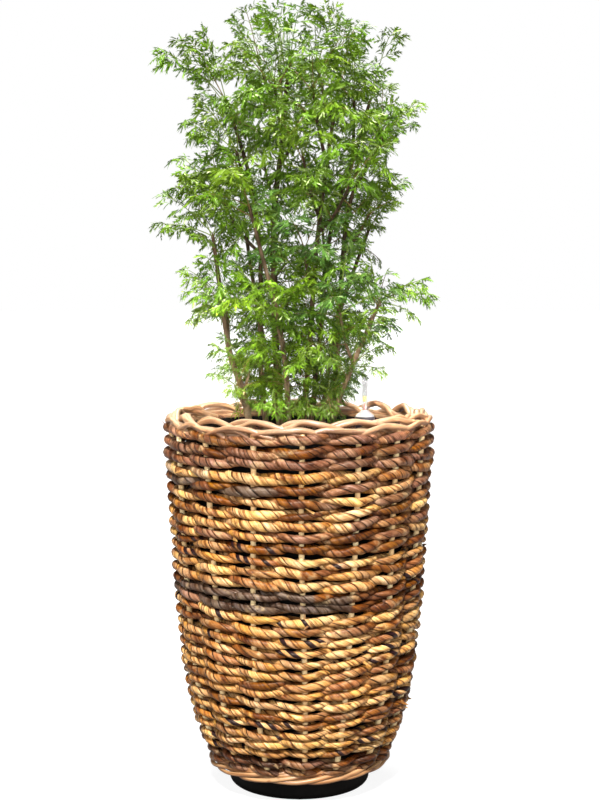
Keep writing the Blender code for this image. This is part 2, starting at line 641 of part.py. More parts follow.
def main():
    clear_scene()
    rope = make_material("banana_bark_rope", (0.34, 0.16, 0.058), 0.62)
    rattan = make_material("peeled_rattan", (0.55, 0.30, 0.14), 0.5)
    black = make_material("black_liner_plastic", (0.008, 0.007, 0.006), 0.38)
    granules = make_material("potting_granules", (0.10, 0.05, 0.03), 0.9)
    grey = make_material("grey_gauge_plastic", (0.45, 0.42, 0.40), 0.45)
    clear = make_material("clear_gauge_plastic", (0.85, 0.87, 0.86), 0.08, transmission=0.9)
    red = make_material("red_float_plastic", (0.55, 0.03, 0.02), 0.4)
    bark = make_material("grey_brown_bark", (0.11, 0.075, 0.035), 0.8)
    leaves = make_material("green_leaf", (0.13, 0.24, 0.045), 0.5)
    make_basket_weave(rope)
    ring("basket_rim_border", RIM_COLUMNS, rim_section, rattan)
    ring("basket_base_border", BASE_COLUMNS, base_section, rattan)
    make_liner_pot(black)
    make_substrate(granules)
    make_gauge(grey, clear, red)
    make_plant(bark, leaves)


main()
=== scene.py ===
"""Looks of the potted ming aralia in its twined basket: ropes, rods, stems and lacy leaves as real meshes.

Metres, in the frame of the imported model: +Z up, the foot's middle at the origin, -Y towards the camera.
"""

import math
import random

import bpy
import numpy as np
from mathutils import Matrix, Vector


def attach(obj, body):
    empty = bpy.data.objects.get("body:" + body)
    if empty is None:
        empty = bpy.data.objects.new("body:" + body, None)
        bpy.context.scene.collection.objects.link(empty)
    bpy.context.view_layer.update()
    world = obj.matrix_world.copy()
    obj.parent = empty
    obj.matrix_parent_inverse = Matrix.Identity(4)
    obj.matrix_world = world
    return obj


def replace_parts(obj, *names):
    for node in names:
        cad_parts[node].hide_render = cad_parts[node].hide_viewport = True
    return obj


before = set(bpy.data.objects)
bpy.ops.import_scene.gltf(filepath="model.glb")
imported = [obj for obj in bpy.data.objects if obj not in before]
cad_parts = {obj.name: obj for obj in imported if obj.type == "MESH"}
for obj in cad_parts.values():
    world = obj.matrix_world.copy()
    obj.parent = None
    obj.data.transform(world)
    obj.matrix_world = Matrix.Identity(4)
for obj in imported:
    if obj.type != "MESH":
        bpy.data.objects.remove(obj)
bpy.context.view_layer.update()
BODY = "root"
UP = np.array((0.0, 0.0, 1.0))
FULL_TURN = 2 * math.pi

# Camera: where the photograph was taken from, worked out from its rims and foot
CAMERA_PLACE = (0.001, -2.3074, 0.7686)
CAMERA_DOWN = 4.6346
LENS = 69.263
SENSOR = 36.0

# Studio: a floor and a world that look white, a sun and soft lights
FLOOR_HALF = 30.0
FLOOR_SHADE = 0.20
FLOOR_GLOW = 0.95
# Round the foot the floor glows less, fading out to the full glow over the reach: a painted shadow
FOOT_GLOW = 0.89
GLOW_REACH = (0.10, 0.70)
FLOOR_BOUNCE = 0.05
AMBIENT = 0.06
SUN_POWER = 7.2
SUN_ANGLE = 9.0
SUN_TOWARDS = (0.07, 0.72, -1.05)
MIDDLE = (0.0, 0.0, 0.55)
WIDE = 180

# Each soft light: its name, its place, what it faces, its width and height, its power and its spread
LIGHTS = (
    ("front_light", (-0.35, -2.6, 0.92), MIDDLE, (1.0, 1.0), 23, WIDE),
    ("right_light", (1.9, -1.4, 1.2), MIDDLE, (0.8, 0.8), 14, WIDE),
    ("left_light", (-1.9, -1.4, 1.2), MIDDLE, (0.8, 0.8), 12, WIDE),
    ("top_light", (0.0, 0.9, 2.5), MIDDLE, (1.0, 1.0), 38, WIDE),
    ("rim_light", (0.0, -1.9, 0.70), (0.0, 0.17, 0.56), (0.55, 0.06), 0.06, 10),
    ("left_border_light", (-0.30, -1.3, 1.05), (-0.13, 0.14, 0.557), (0.10, 0.10), 0.27, 9),
    ("right_border_light", (0.30, -1.3, 1.05), (0.13, 0.14, 0.557), (0.10, 0.10), 0.27, 9),
)

# Basket and pot, as in the solids, but for a slightly wider gap and a lower top edge of the pot
BASKET_TOP_RADIUS = 0.204
BASKET_BOTTOM = 0.0447
BASKET_TOP = 0.5463
BASKET_TAPER = 0.052
BASKET_TUCK = 0.0435
BASKET_TUCK_FALL = 0.08
BASKET_TUCK_BASE = 0.037
BASKET_WALL = 0.031
STAKES = 16
STAKE_LOW = 0.0375
SOIL_TOP = 0.530
ROOT_DEPTH = 0.060
POT_WALL = 0.003
POT_GAP = 0.0007
POT_FLOOR = 0.006
POT_TOP = 0.543
FOOT_RADIUS = 0.1062
FOOT_ROUNDING = 0.010
POT_SEAM = 0.0007
GAUGE_PLACE = (0.0985, 0.0)

# Ropes: two strands a row, twined round the stakes
ROWS = 31
TOP_PITCH = 0.0178
BOTTOM_PITCH = 0.0150
STAKE_TURN = math.radians(2.0)
STAKE_RADIUS = 0.0040
STAKE_OUTWARD = 0.0042
ROPE_SEGMENTS = 16 * STAKES
ROPE_SIDES = 10
ROPE_RADIUS = 0.0058
ROPE_SIZES = (0.86, 1.09)
ROPE_DRIFT = 0.0010
DRIFT_WAVES = ((2, 9), (3, -14), (5, 21))
ROPE_SWING = 0.0092
ROPE_SLOPES = (0.0031, 0.0040)
ROPE_FLATTEN = 0.15
ROPE_SQUEEZE = 0.13
ROPE_CREST = 0.07
ROPE_PIECES = 4

# How the strands wander: a row's height, and a strand's turn, slope, height, thickness and wraps
ROW_WANDER = 0.0026
TURN_WANDER = 0.22
SLOPE_WANDER = 0.40
LEVEL_WANDER = 0.0024
THICK_WANDER = 0.18
WRAP_WANDER = 0.9

# How sizes vary at random, as factors: a row's and a strand's thickness, and the length of a wrap
ROW_SIZES = (0.92, 1.08)
STRAND_SIZES = (0.86, 1.12)
WRAP_SIZES = (0.75, 1.5)

# Which way the strands lean between the stakes, for each quarter from the front towards +X: below 0 they rise
LEANS = (-0.95, 0.7, -0.7, 0.7)
LEAN_CHANCE = 0.12

# Wraps of bark round a strand
WRAP_LENGTH = 0.0150
WRAP_STARTS = 2
WRAP_SLANT = 0.11
WRAP_SWELL = 0.05
WRAP_LUMPS = 0.060
WRAP_SPARE = 40
WRAPS_APART = 137
FIBRE_SCALE = 30

# Borders: routes of one rod as (stake spacings, radius, height)
ROD_SIDES = 10
BORDER_ROD = 0.0042
ROD_UNEVEN = (0.0010, 0.0015)
RIM_ROUTES = (
    ((0.00, 0.1890, 0.5380), (0.12, 0.1915, 0.5470), (0.38, 0.1925, 0.5550), (0.70, 0.1895, 0.5615),
     (0.98, 0.1850, 0.5630), (1.28, 0.1805, 0.5590), (1.60, 0.1770, 0.5520), (1.95, 0.1765, 0.5460)),
    ((0.00, 0.1905, 0.5400), (0.15, 0.1935, 0.5475), (0.45, 0.1955, 0.5530), (0.80, 0.1965, 0.5555),
     (1.10, 0.1960, 0.5530), (1.40, 0.1935, 0.5470)),
    ((0.00, 0.1768, 0.5440), (-0.22, 0.1766, 0.5530), (-0.50, 0.1775, 0.5615), (-0.82, 0.1800, 0.5648),
     (-1.12, 0.1835, 0.5610), (-1.38, 0.1862, 0.5550)),
)
RIM_SHIFTS = (0.0, 0.45, 0.20)
RIM_RINGS = ((0.1830, 0.5440), (0.1855, 0.5505))
BASE_ROD = 0.0033
BASE_ROUTE = ((0.0, 0.1290, 0.0385), (0.35, 0.1335, 0.0370), (0.9, 0.1352, 0.0376), (1.6, 0.1345, 0.0422),
              (2.3, 0.1320, 0.0480), (2.9, 0.1285, 0.0510))
BASE_TILT = 0.0018
BASE_RINGS = ((0.1296, 0.0405), (0.1296, 0.0458))
RING_OVERLAP = 0.15

# Loose ends of bark on the ropes
FLAPS = 60
FLAP_OUTLINE = (1.0, 0.95, 0.80, 0.50, 0.06)

# Granules: how many, how deep they lie, and their browns
GRANULES = 1600
GRANULE_DEPTH = 0.0055
GRANULE_TINTS = np.array([(0.17, 0.075, 0.04), (0.10, 0.05, 0.03), (0.22, 0.13, 0.08), (0.055, 0.032, 0.022)])

# Leaves
FROND_TEMPLATES = 12
EXTRA_FRONDS = 1
FILLER_FRONDS = 3
END_LOBES = (0.85, 1.0, 0.66)
SIDE_LOBES = (1.0, 0.74)
SIDE_STATIONS = (0.20, 0.37, 0.54)
PINNA_STATIONS = (0.27, 0.43, 0.58, 0.72)
END_PINNA = (0.68, 0)
PINNA_REACH = 0.37
END_REACH = 0.30
FROND_DROOP = 1.0
TIP_DROOP = 0.28
CROWN_MARGIN = 0.022
CROWN_TOP = 1.165
FAN_RISE = 50
FAN_STEP = 12
STALK = np.array([0.17, 0.23, 0.035])
YOUNG_STALK = np.array([0.24, 0.15, 0.05])

# Plant, as in the solids
FROND_ARCH = 0.16
GOLDEN_ANGLE = math.radians(137.5)
FROND_STEP = 0.004
RISE_CHANCE = 8
OUTWARD_LEAN = 0.45
MOST_ROLL = 0.5
BRANCH_RADIUS = 0.0026
BRANCH_SAG = 0.12
STEM_UPRIGHT = 0.004
STEM_SPACING = 0.065
BRANCH_SPACING = 0.05
AT_TIP = None

# How far the crown reaches to the left and to the right at each height
CROWN_SIDES = (
    (0.56, 0.105, 0.12), (0.63, 0.12, 0.108), (0.672, 0.131, 0.138), (0.705, 0.172, 0.185),
    (0.735, 0.176, 0.212), (0.765, 0.181, 0.2), (0.8, 0.182, 0.15), (0.82, 0.207, 0.11), (0.88, 0.22, 0.14),
    (0.91, 0.209, 0.168), (0.97, 0.194, 0.168), (1.0, 0.182, 0.186), (1.03, 0.155, 0.187),
    (1.06, 0.18, 0.145), (1.09, 0.209, 0.11), (1.115, 0.221, 0.108), (1.145, 0.182, 0.142),
    (1.17, 0.07, 0.04),
)

# Each stem, as in the solids: its node, its radius at the soil and at the top, and its places from there up
STEMS = (
    ("leafy_stem_01", 0.0066, 0.0032, [(-0.026, -0.012, 0.0), (-0.033, -0.016, 0.62),
     (-0.037, -0.014, 0.74), (-0.038, -0.008, 0.86), (-0.024, -0.006, 0.97), (-0.018, -0.014, 1.055)]),
    ("leafy_stem_02", 0.0058, 0.0026, [(-0.07, -0.052, 0.0), (-0.082, -0.058, 0.6), (-0.101, -0.062, 0.65),
     (-0.112, -0.05, 0.72), (-0.128, -0.028, 0.83)]),
    ("leafy_stem_03", 0.0045, 0.0024, [(-0.05, 0.02, 0.0), (-0.06, 0.018, 0.65), (-0.058, 0.012, 0.8),
     (-0.075, 0.01, 0.92), (-0.11, 0.004, 1.03)]),
    ("leafy_stem_04", 0.0045, 0.0024, [(0.004, -0.044, 0.0), (0.014, -0.05, 0.65), (0.024, -0.056, 0.8),
     (0.04, -0.052, 0.93), (0.058, -0.034, 1.05)]),
    ("leafy_stem_05", 0.0045, 0.0024, [(0.016, 0.036, 0.0), (0.03, 0.04, 0.65), (0.044, 0.036, 0.82),
     (0.08, 0.026, 0.94), (0.106, 0.01, 1.03)]),
    ("leafy_stem_06", 0.0045, 0.0024, [(0.044, -0.008, 0.0), (0.056, -0.01, 0.65), (0.064, -0.012, 0.79),
     (0.078, -0.016, 0.89), (0.124, -0.024, 0.97)]),
    ("leafy_stem_07", 0.0052, 0.0024, [(0.042, -0.066, 0.0), (0.058, -0.074, 0.59), (0.078, -0.07, 0.64),
     (0.1, -0.052, 0.69), (0.122, -0.03, 0.735)]),
    ("leafy_stem_08", 0.0045, 0.0024, [(-0.014, -0.082, 0.0), (-0.018, -0.102, 0.62),
     (-0.032, -0.118, 0.72), (-0.054, -0.112, 0.8), (-0.072, -0.1, 0.87)]),
    ("leafy_stem_09", 0.0045, 0.0024, [(0.034, 0.078, 0.0), (0.048, 0.102, 0.64), (0.066, 0.12, 0.72),
     (0.09, 0.106, 0.79), (0.108, 0.086, 0.84)]),
    ("leafy_stem_10", 0.0045, 0.0024, [(-0.03, 0.074, 0.0), (-0.052, 0.104, 0.64), (-0.066, 0.12, 0.72),
     (-0.078, 0.116, 0.79), (-0.086, 0.104, 0.86)]),
)

# Leaf tints as linear RGB. Low leaves get painted shade: darker up to the first height, by the factor, fading
# to the second
YELLOWISH = (0.190, 0.345, 0.012)
FRESH = (0.162, 0.296, 0.013)
PLAIN = (0.118, 0.224, 0.008)
DEEP = (0.087, 0.182, 0.006)
BLUISH = (0.076, 0.172, 0.024)
LOW_LEAVES = (0.58, 0.70)
LOW_FACTOR = 0.66

# Each spray: its stem, the height where its branch leaves the stem or AT_TIP, its end, the frond tips that
# shape the outline, the number of fronds on it, their length, and its tint. The first 31 are sprays of the
# solids, six of them with moved frond tips, and the others are in the scene only
SPRAYS = (
    (1, AT_TIP, (-0.018, -0.014, 1.055), [(-0.048, -0.03, 1.18), (0.004, -0.05, 1.174)], 9, 0.135, FRESH),
    (1, 0.93, (0.0, 0.078, 1.01), [(0.002, 0.15, 1.12), (0.04, 0.185, 1.02)], 8, 0.155, PLAIN),
    (1, 0.88, (-0.058, 0.09, 0.96), [(-0.11, 0.175, 1.03), (-0.15, 0.15, 0.96)], 8, 0.16, PLAIN),
    (3, AT_TIP, (-0.11, 0.004, 1.03),
     [(-0.223, -0.01, 1.106), (-0.186, -0.03, 1.132), (-0.148, 0.0, 1.146)], 9, 0.14, PLAIN),
    (3, 0.88, (-0.092, -0.06, 0.95), [(-0.158, -0.08, 1.034), (-0.182, -0.05, 0.998)], 8, 0.15, PLAIN),
    (3, 0.8, (-0.122, 0.034, 0.89), [(-0.201, 0.05, 0.96), (-0.215, 0.07, 0.9)], 8, 0.15, FRESH),
    (4, AT_TIP, (0.058, -0.034, 1.05), [(0.034, -0.06, 1.172), (0.09, -0.07, 1.148)], 9, 0.135, FRESH),
    (4, 0.85, (0.004, -0.11, 0.94), [(-0.03, -0.205, 1.01), (0.03, -0.21, 0.965)], 8, 0.15, PLAIN),
    (4, 0.83, (0.074, -0.1, 0.9), [(0.13, -0.185, 0.955), (0.08, -0.205, 0.89)], 8, 0.155, DEEP),
    (4, 0.74, (0.006, -0.106, 0.81), [(-0.02, -0.21, 0.85), (0.04, -0.205, 0.8)], 7, 0.15, BLUISH),
    (5, AT_TIP, (0.106, 0.01, 1.03), [(0.142, -0.01, 1.142), (0.15, 0.04, 1.06)], 9, 0.14, PLAIN),
    (5, 0.86, (0.094, 0.08, 0.95), [(0.165, 0.14, 1.01), (0.11, 0.19, 0.96)], 8, 0.155, PLAIN),
    (5, 0.79, (0.034, 0.112, 0.87), [(0.03, 0.205, 0.93), (0.09, 0.2, 0.88)], 8, 0.155, DEEP),
    (6, AT_TIP, (0.124, -0.024, 0.97), [(0.187, -0.04, 1.03), (0.181, -0.02, 0.995)], 8, 0.135, FRESH),
    (6, 0.8, (0.104, -0.006, 0.86),
     [(0.17, -0.01, 0.917), (0.148, -0.05, 0.88), (0.12, 0.05, 0.845)], 8, 0.135, PLAIN),
    (2, AT_TIP, (-0.128, -0.028, 0.83), [(-0.219, -0.02, 0.896), (-0.227, -0.02, 0.842)], 9, 0.145, PLAIN),
    (2, 0.66, (-0.106, -0.034, 0.73),
     [(-0.184, -0.04, 0.785), (-0.182, -0.06, 0.745), (-0.172, -0.03, 0.697)], 9, 0.14, YELLOWISH),
    (2, 0.6, (-0.072, -0.082, 0.63), [(-0.134, -0.11, 0.673), (-0.129, -0.1, 0.636)], 7, 0.11, YELLOWISH),
    (7, AT_TIP, (0.122, -0.03, 0.735),
     [(0.211, -0.03, 0.736), (0.199, -0.04, 0.765), (0.189, -0.01, 0.698)], 9, 0.14, FRESH),
    (7, 0.6, (0.076, -0.088, 0.64), [(0.139, -0.11, 0.674), (0.134, -0.1, 0.628)], 7, 0.11, PLAIN),
    (7, 0.64, (0.054, -0.128, 0.73), [(0.09, -0.215, 0.775), (0.04, -0.225, 0.735)], 8, 0.145, BLUISH),
    (8, 0.66, (-0.034, -0.128, 0.72), [(-0.06, -0.22, 0.76), (-0.11, -0.19, 0.735)], 8, 0.145, YELLOWISH),
    (8, AT_TIP, (-0.072, -0.1, 0.87), [(-0.11, -0.195, 0.925), (-0.15, -0.15, 0.88)], 8, 0.15, PLAIN),
    (8, 0.58, (-0.022, -0.112, 0.64), [(-0.062, -0.172, 0.665), (0.004, -0.178, 0.645)], 8, 0.1, YELLOWISH),
    (9, 0.68, (0.062, 0.128, 0.72), [(0.08, 0.215, 0.765), (0.14, 0.18, 0.735)], 8, 0.145, DEEP),
    (9, AT_TIP, (0.108, 0.086, 0.84), [(0.15, 0.13, 0.885), (0.13, 0.165, 0.845)], 8, 0.13, PLAIN),
    (9, 0.59, (0.03, 0.112, 0.64), [(0.02, 0.18, 0.67), (0.08, 0.15, 0.665)], 7, 0.1, DEEP),
    (10, 0.68, (-0.068, 0.128, 0.72), [(-0.09, 0.215, 0.765), (-0.145, 0.175, 0.73)], 8, 0.145, DEEP),
    (10, AT_TIP, (-0.086, 0.104, 0.86), [(-0.13, 0.19, 0.91), (-0.185, 0.14, 0.86)], 8, 0.145, PLAIN),
    (10, 0.59, (-0.05, 0.11, 0.64), [(-0.06, 0.175, 0.67), (-0.11, 0.13, 0.665)], 7, 0.1, PLAIN),
    (10, 0.74, (-0.02, 0.126, 0.79), [(-0.02, 0.21, 0.83), (0.02, 0.2, 0.79)], 7, 0.145, DEEP),
    (4, 0.575, (0.01, -0.092, 0.6), [(0.012, -0.15, 0.572), (-0.012, -0.146, 0.576)], 8, 0.085, PLAIN),
    (1, 0.58, (-0.036, -0.084, 0.604), [(-0.06, -0.136, 0.574), (-0.034, -0.15, 0.57)], 8, 0.085, YELLOWISH),
    (7, 0.575, (0.04, -0.094, 0.596), [(0.046, -0.15, 0.57), (0.03, -0.146, 0.566)], 7, 0.085, DEEP),
    (6, 0.59, (0.066, -0.04, 0.625), [(0.082, -0.08, 0.6), (0.1, -0.05, 0.625)], 7, 0.09, BLUISH),
    (3, 0.59, (-0.05, -0.01, 0.64), [(-0.06, -0.07, 0.61), (-0.09, -0.03, 0.62)], 8, 0.105, DEEP),
    (5, 0.6, (0.02, -0.01, 0.66), [(0.03, -0.08, 0.63), (0.0, -0.08, 0.63)], 8, 0.11, DEEP),
    (1, 0.69, (-0.01, -0.08, 0.75), [(-0.01, -0.16, 0.735), (-0.06, -0.15, 0.745)], 8, 0.12, PLAIN),
    (4, 0.64, (0.03, -0.11, 0.675), [(0.05, -0.18, 0.64), (0.0, -0.18, 0.655)], 8, 0.11, PLAIN),
    (4, 0.93, (0.018, -0.08, 1.04), [(0.01, -0.14, 1.105), (0.06, -0.13, 1.085)], 9, 0.12, FRESH),
    (1, 0.97, (-0.036, -0.07, 1.045), [(-0.07, -0.12, 1.1), (-0.03, -0.14, 1.095)], 9, 0.12, PLAIN),
    (1, 1.0, (-0.058, -0.012, 1.075), [(-0.106, -0.02, 1.15), (-0.084, -0.04, 1.17)], 8, 0.105, FRESH),
    (5, 0.94, (0.08, -0.055, 1.035), [(0.112, -0.11, 1.07), (0.062, -0.12, 1.1)], 9, 0.12, PLAIN),
    (4, 0.99, (0.026, -0.01, 1.08), [(0.02, -0.03, 1.171), (0.06, -0.02, 1.166)], 8, 0.095, PLAIN),
    (1, 0.99, (-0.03, 0.02, 1.085), [(-0.052, 0.01, 1.165), (-0.02, 0.05, 1.15)], 7, 0.095, FRESH),
    (2, 0.575, (-0.094, -0.092, 0.612), [(-0.134, -0.128, 0.63), (-0.09, -0.15, 0.6)], 8, 0.095, YELLOWISH),
)

# Rope tints as linear RGB, and where they lie: from that height up, the row is drawn from these tints
STRAW = (0.70, 0.51, 0.300)
GOLD = (0.60, 0.370, 0.150)
TAN = (0.49, 0.260, 0.086)
RUSSET = (0.31, 0.135, 0.044)
BROWN = (0.170, 0.062, 0.016)
MAUVE = (0.240, 0.118, 0.062)
GREY = (0.120, 0.080, 0.056)
DUSKY = (0.090, 0.034, 0.014)
PURPLE = (0.018, 0.006, 0.008)
TINT_STRETCH = (0.35, 1.9)
TINT_SHADES = (0.78, 1.26)
BAND_ROWS = (0.06, 0.40)
BAND_STRETCH = (0.6, 2.4)
BANDLESS = 0.15
ROW_TINTS = (
    (0.505, (MAUVE, MAUVE, BROWN, MAUVE, MAUVE)),
    (0.474, (GOLD, TAN, STRAW, GOLD, TAN, RUSSET)),
    (0.455, (GREY, BROWN, MAUVE, TAN, MAUVE, RUSSET)),
    (0.425, (TAN, BROWN, RUSSET, GOLD, MAUVE)),
    (0.332, (TAN, GOLD, RUSSET, BROWN, GOLD, TAN, MAUVE)),
    (0.300, (GREY, BROWN, MAUVE, GREY, BROWN, TAN)),
    (0.215, (TAN, GOLD, RUSSET, GOLD, TAN)),
    (0.075, (GOLD, TAN, RUSSET, TAN, GOLD, TAN, BROWN)),
    (0.0, (BROWN, RUSSET, DUSKY, MAUVE)),
)


class Nodes:
    """Short calls for the shader nodes of one tree."""

    def __init__(self, tree):
        self.tree = tree

    def put(self, socket, value):
        """Links a socket, or sets its value."""
        if isinstance(value, bpy.types.NodeSocket):
            self.tree.links.new(value, socket)
        else:
            socket.default_value = value

    def add(self, kind, inputs=None, **settings):
        """The outputs of a new shader node, its inputs linked or set by name or number."""
        made = self.tree.nodes.new("ShaderNode" + kind)
        for key, value in settings.items():
            setattr(made, key, value)
        for key, value in (inputs or {}).items():
            self.put(made.inputs[key], value)
        return made.outputs

    def maths(self, operation, a, b=0.0):
        """The result of one Math node."""
        return self.add("Math", {0: a, 1: b}, operation=operation)[0]

    def noise(self, vector, scale, detail=3.0, roughness=0.55):
        """The value of a noise texture."""
        inputs = {"Vector": vector, "Scale": scale, "Detail": detail, "Roughness": roughness}
        return self.add("TexNoise", inputs)[0]

    def chance(self, number):
        """A random value for each whole number."""
        return self.add("TexWhiteNoise", {"W": number}, noise_dimensions="1D")[0]

    def ramp(self, value, *stops):
        """A colour ramp through (place, colour) stops."""
        made = self.tree.nodes.new("ShaderNodeValToRGB")
        self.put(made.inputs[0], value)
        elements = made.color_ramp.elements
        while len(elements) < len(stops):
            elements.new(0.5)
        for element, (place, colour) in zip(elements, stops):
            element.position = place
            element.color = (*colour, 1.0)
        return made.outputs[0]

    def blend(self, mode, share, colour, other):
        """A colour blended with another one, which is a socket or linear RGB."""
        made = self.tree.nodes.new("ShaderNodeMix")
        made.data_type = "RGBA"
        made.blend_type = mode
        self.put(made.inputs[0], share)
        self.put(made.inputs[6], colour)
        self.put(made.inputs[7], other if isinstance(other, bpy.types.NodeSocket) else (*other, 1.0))
        return made.outputs[2]

    def times(self, share, colour, other):
        """A colour multiplied by another one, by a share."""
        return self.blend("MULTIPLY", share, colour, other)

    def mix(self, share, colour, other):
        """A colour mixed with another one, by a share."""
        return self.blend("MIX", share, colour, other)

    def span(self, value, low, high, new_low=0.0, new_high=1.0):
        """A value mapped from one range to another, clamped."""
        return self.add("MapRange", {0: value, 1: low, 2: high, 3: new_low, 4: new_high})[0]

    def join(self, x, y, z):
        """A vector from three values."""
        return self.add("CombineXYZ", {0: x, 1: y, 2: z})[0]

    def scaled(self, vector, scale):
        """A vector times a scale for each axis."""
        return self.add("VectorMath", {0: vector, 1: scale}, operation="MULTIPLY")[0]

    def bump(self, height, strength, distance):
        """A bump normal from a height value."""
        return self.add("Bump", {"Height": height, "Strength": strength, "Distance": distance})[0]

    def stored(self, name, kind="Fac"):
        """The value of a mesh attribute, or its colour."""
        return self.add("Attribute", attribute_name=name)[kind]


class Material(Nodes):
    """A new material with one Principled BSDF; place is the point on the mesh."""

    def __init__(self, name, roughness, specular=0.5):
        self.made = bpy.data.materials.new(name)
        self.made.use_nodes = True
        super().__init__(self.made.node_tree)
        self.shader = self.tree.nodes["Principled BSDF"]
        self.set("Roughness", roughness)
        self.set("Specular IOR Level", specular)
        self.place = self.add("TexCoord")["Object"]

    def set(self, socket, value):
        """Sets or links one of the shader's sockets."""
        self.put(self.shader.inputs[socket], value)


def rope_material():
    """Banana bark: tinted wraps with painted shade in and beside the creases, ridges and fibres with painted
    highlights and shade, stains, specks and purple bands.
    """
    bark = Material("banana_bark_rope", 0.42, 0.31)
    bark.set("Specular Tint", (1.0, 0.86, 0.68, 1.0))
    wrap = bark.stored("wrap")
    number = bark.maths("FLOOR", wrap)
    part = bark.maths("FRACT", wrap)
    chance = bark.chance(number)
    choice = bark.chance(bark.maths("ADD", number, 0.37))
    colour = bark.add("HueSaturation", {
        "Hue": bark.span(chance, 0.0, 1.0, 0.490, 0.506),
        "Saturation": bark.span(choice, 0.0, 1.0, 1.10, 0.94),
        "Value": bark.span(chance, 0.0, 1.0, 0.80, 1.18),
        "Color": bark.stored("tint", "Color"),
    })[0]
    along = bark.stored("along")
    ridges = bark.noise(bark.join(bark.maths("MULTIPLY", wrap, 3.4), along, chance), 1.0, 2.0, 0.5)
    fibres = bark.noise(bark.join(bark.maths("MULTIPLY", wrap, 8.5), along, chance), 1.0, 4.0, 0.65)
    patches = bark.noise(bark.place, 38.0, 4.0, 0.62)
    specks = bark.noise(bark.place, 420.0, 2.0, 0.6)
    # Ridges and fibres: pale and dark streaks of the bark, pushed to whitish painted highlights where they
    # stand up and to painted shade in the hollows between them
    colour = bark.times(0.92, colour, bark.ramp(
        ridges, (0.31, (0.24, 0.10, 0.035)), (0.45, (0.88, 0.78, 0.66)), (0.60, (1.14, 1.15, 1.18)),
        (0.72, (1.42, 1.56, 1.85))))
    colour = bark.times(0.78, colour, bark.ramp(
        fibres, (0.30, (0.30, 0.15, 0.06)), (0.50, (1.0, 1.0, 1.0)), (0.70, (1.38, 1.48, 1.70))))
    colour = bark.times(bark.span(patches, 0.53, 0.68), colour, (0.40, 0.25, 0.17))
    colour = bark.mix(bark.span(patches, 0.44, 0.28, 0.0, 0.45), colour, (0.80, 0.56, 0.28))
    colour = bark.times(bark.span(specks, 0.62, 0.70, 0.0, 0.8), colour, (0.30, 0.20, 0.14))
    banded = bark.maths("MULTIPLY", bark.span(choice, 0.56, 0.58), bark.span(part, 0.54, 0.50))
    colour = bark.mix(bark.maths("MULTIPLY", banded, bark.stored("band")), colour, PURPLE)
    # Painted shade beside each crease, then a near-black painted shade in the crease itself, stronger on some
    # wraps than on others
    colour = bark.times(bark.span(part, 0.24, 0.03, 0.0, 0.70), colour, (0.46, 0.27, 0.14))
    line = bark.maths("MAXIMUM", bark.span(part, 0.105, 0.050), bark.span(part, 0.965, 1.0))
    crease = bark.maths("MULTIPLY", line, bark.span(choice, 0.15, 0.75, 0.22, 1.0))
    bark.set("Base Color", bark.times(crease, colour, (0.05, 0.020, 0.010)))
    relief = bark.maths("ADD", bark.maths("MULTIPLY", ridges, 1.3), bark.maths("MULTIPLY", fibres, 0.35))
    bark.set("Normal", bark.bump(bark.maths("SUBTRACT", relief, crease), 0.9, 0.0020))
    bark.set("Roughness", bark.span(fibres, 0.3, 0.7, 0.46, 0.26))
    return bark.made


def rattan_material(name, gloss, light, dark, painted_highlight):
    """Peeled rattan: long streaks, spots, painted shade on the underside, a painted highlight on the top and
    a soft shine.
    """
    rattan = Material(name, 0.40, gloss)
    along = rattan.maths("MULTIPLY", rattan.stored("along"), 24.0)
    around = rattan.maths("MULTIPLY", rattan.stored("wrap"), 5.0)
    streak = rattan.noise(rattan.join(along, around, 0.0), 1.0)
    spots = rattan.noise(rattan.place, 90.0, 3.0, 0.6)
    wide = rattan.noise(rattan.place, 18.0, 2.0)
    under = rattan.stored("under")
    colour = rattan.ramp(streak, (0.28, dark), (0.62, light))
    colour = rattan.times(rattan.span(wide, 0.35, 0.7), colour, (0.82, 0.60, 0.42))
    colour = rattan.times(rattan.span(spots, 0.60, 0.72, 0.0, 0.75), colour, (0.50, 0.30, 0.20))
    # Painted shade on each rod's underside, and a painted highlight mixed over its top
    colour = rattan.times(rattan.span(under, 0.55, 0.95, 0.0, 0.85), colour, (0.34, 0.20, 0.12))
    rattan.set("Base Color", rattan.mix(rattan.span(under, 0.30, 0.02, 0.0, 0.40), colour, painted_highlight))
    rattan.set("Normal", rattan.bump(rattan.maths("ADD", streak, spots), 0.25, 0.0006))
    return rattan.made


def leaf_material():
    """Thin leaf: the leaf's own tint, a paler midrib, soft mottling and a waxy sheen."""
    leaf = Material("aralia_leaf", 0.33, 0.56)
    leaf.set("Specular Tint", (0.98, 1.0, 0.60, 1.0))
    mottle = leaf.noise(leaf.place, 130.0)
    rib = leaf.stored("rib")
    colour = leaf.times(0.6, leaf.stored("tint", "Color"), leaf.ramp(
        mottle, (0.32, (0.62, 0.66, 0.55)), (0.5, (1.0, 1.0, 1.0)), (0.72, (1.32, 1.22, 1.1))))
    leaf.set("Base Color", leaf.mix(leaf.span(rib, 0.80, 1.0, 0.0, 0.45), colour, (0.36, 0.48, 0.10)))
    leaf.set("Normal", leaf.bump(leaf.maths("ADD", mottle, rib), 0.3, 0.0008))
    return leaf.made


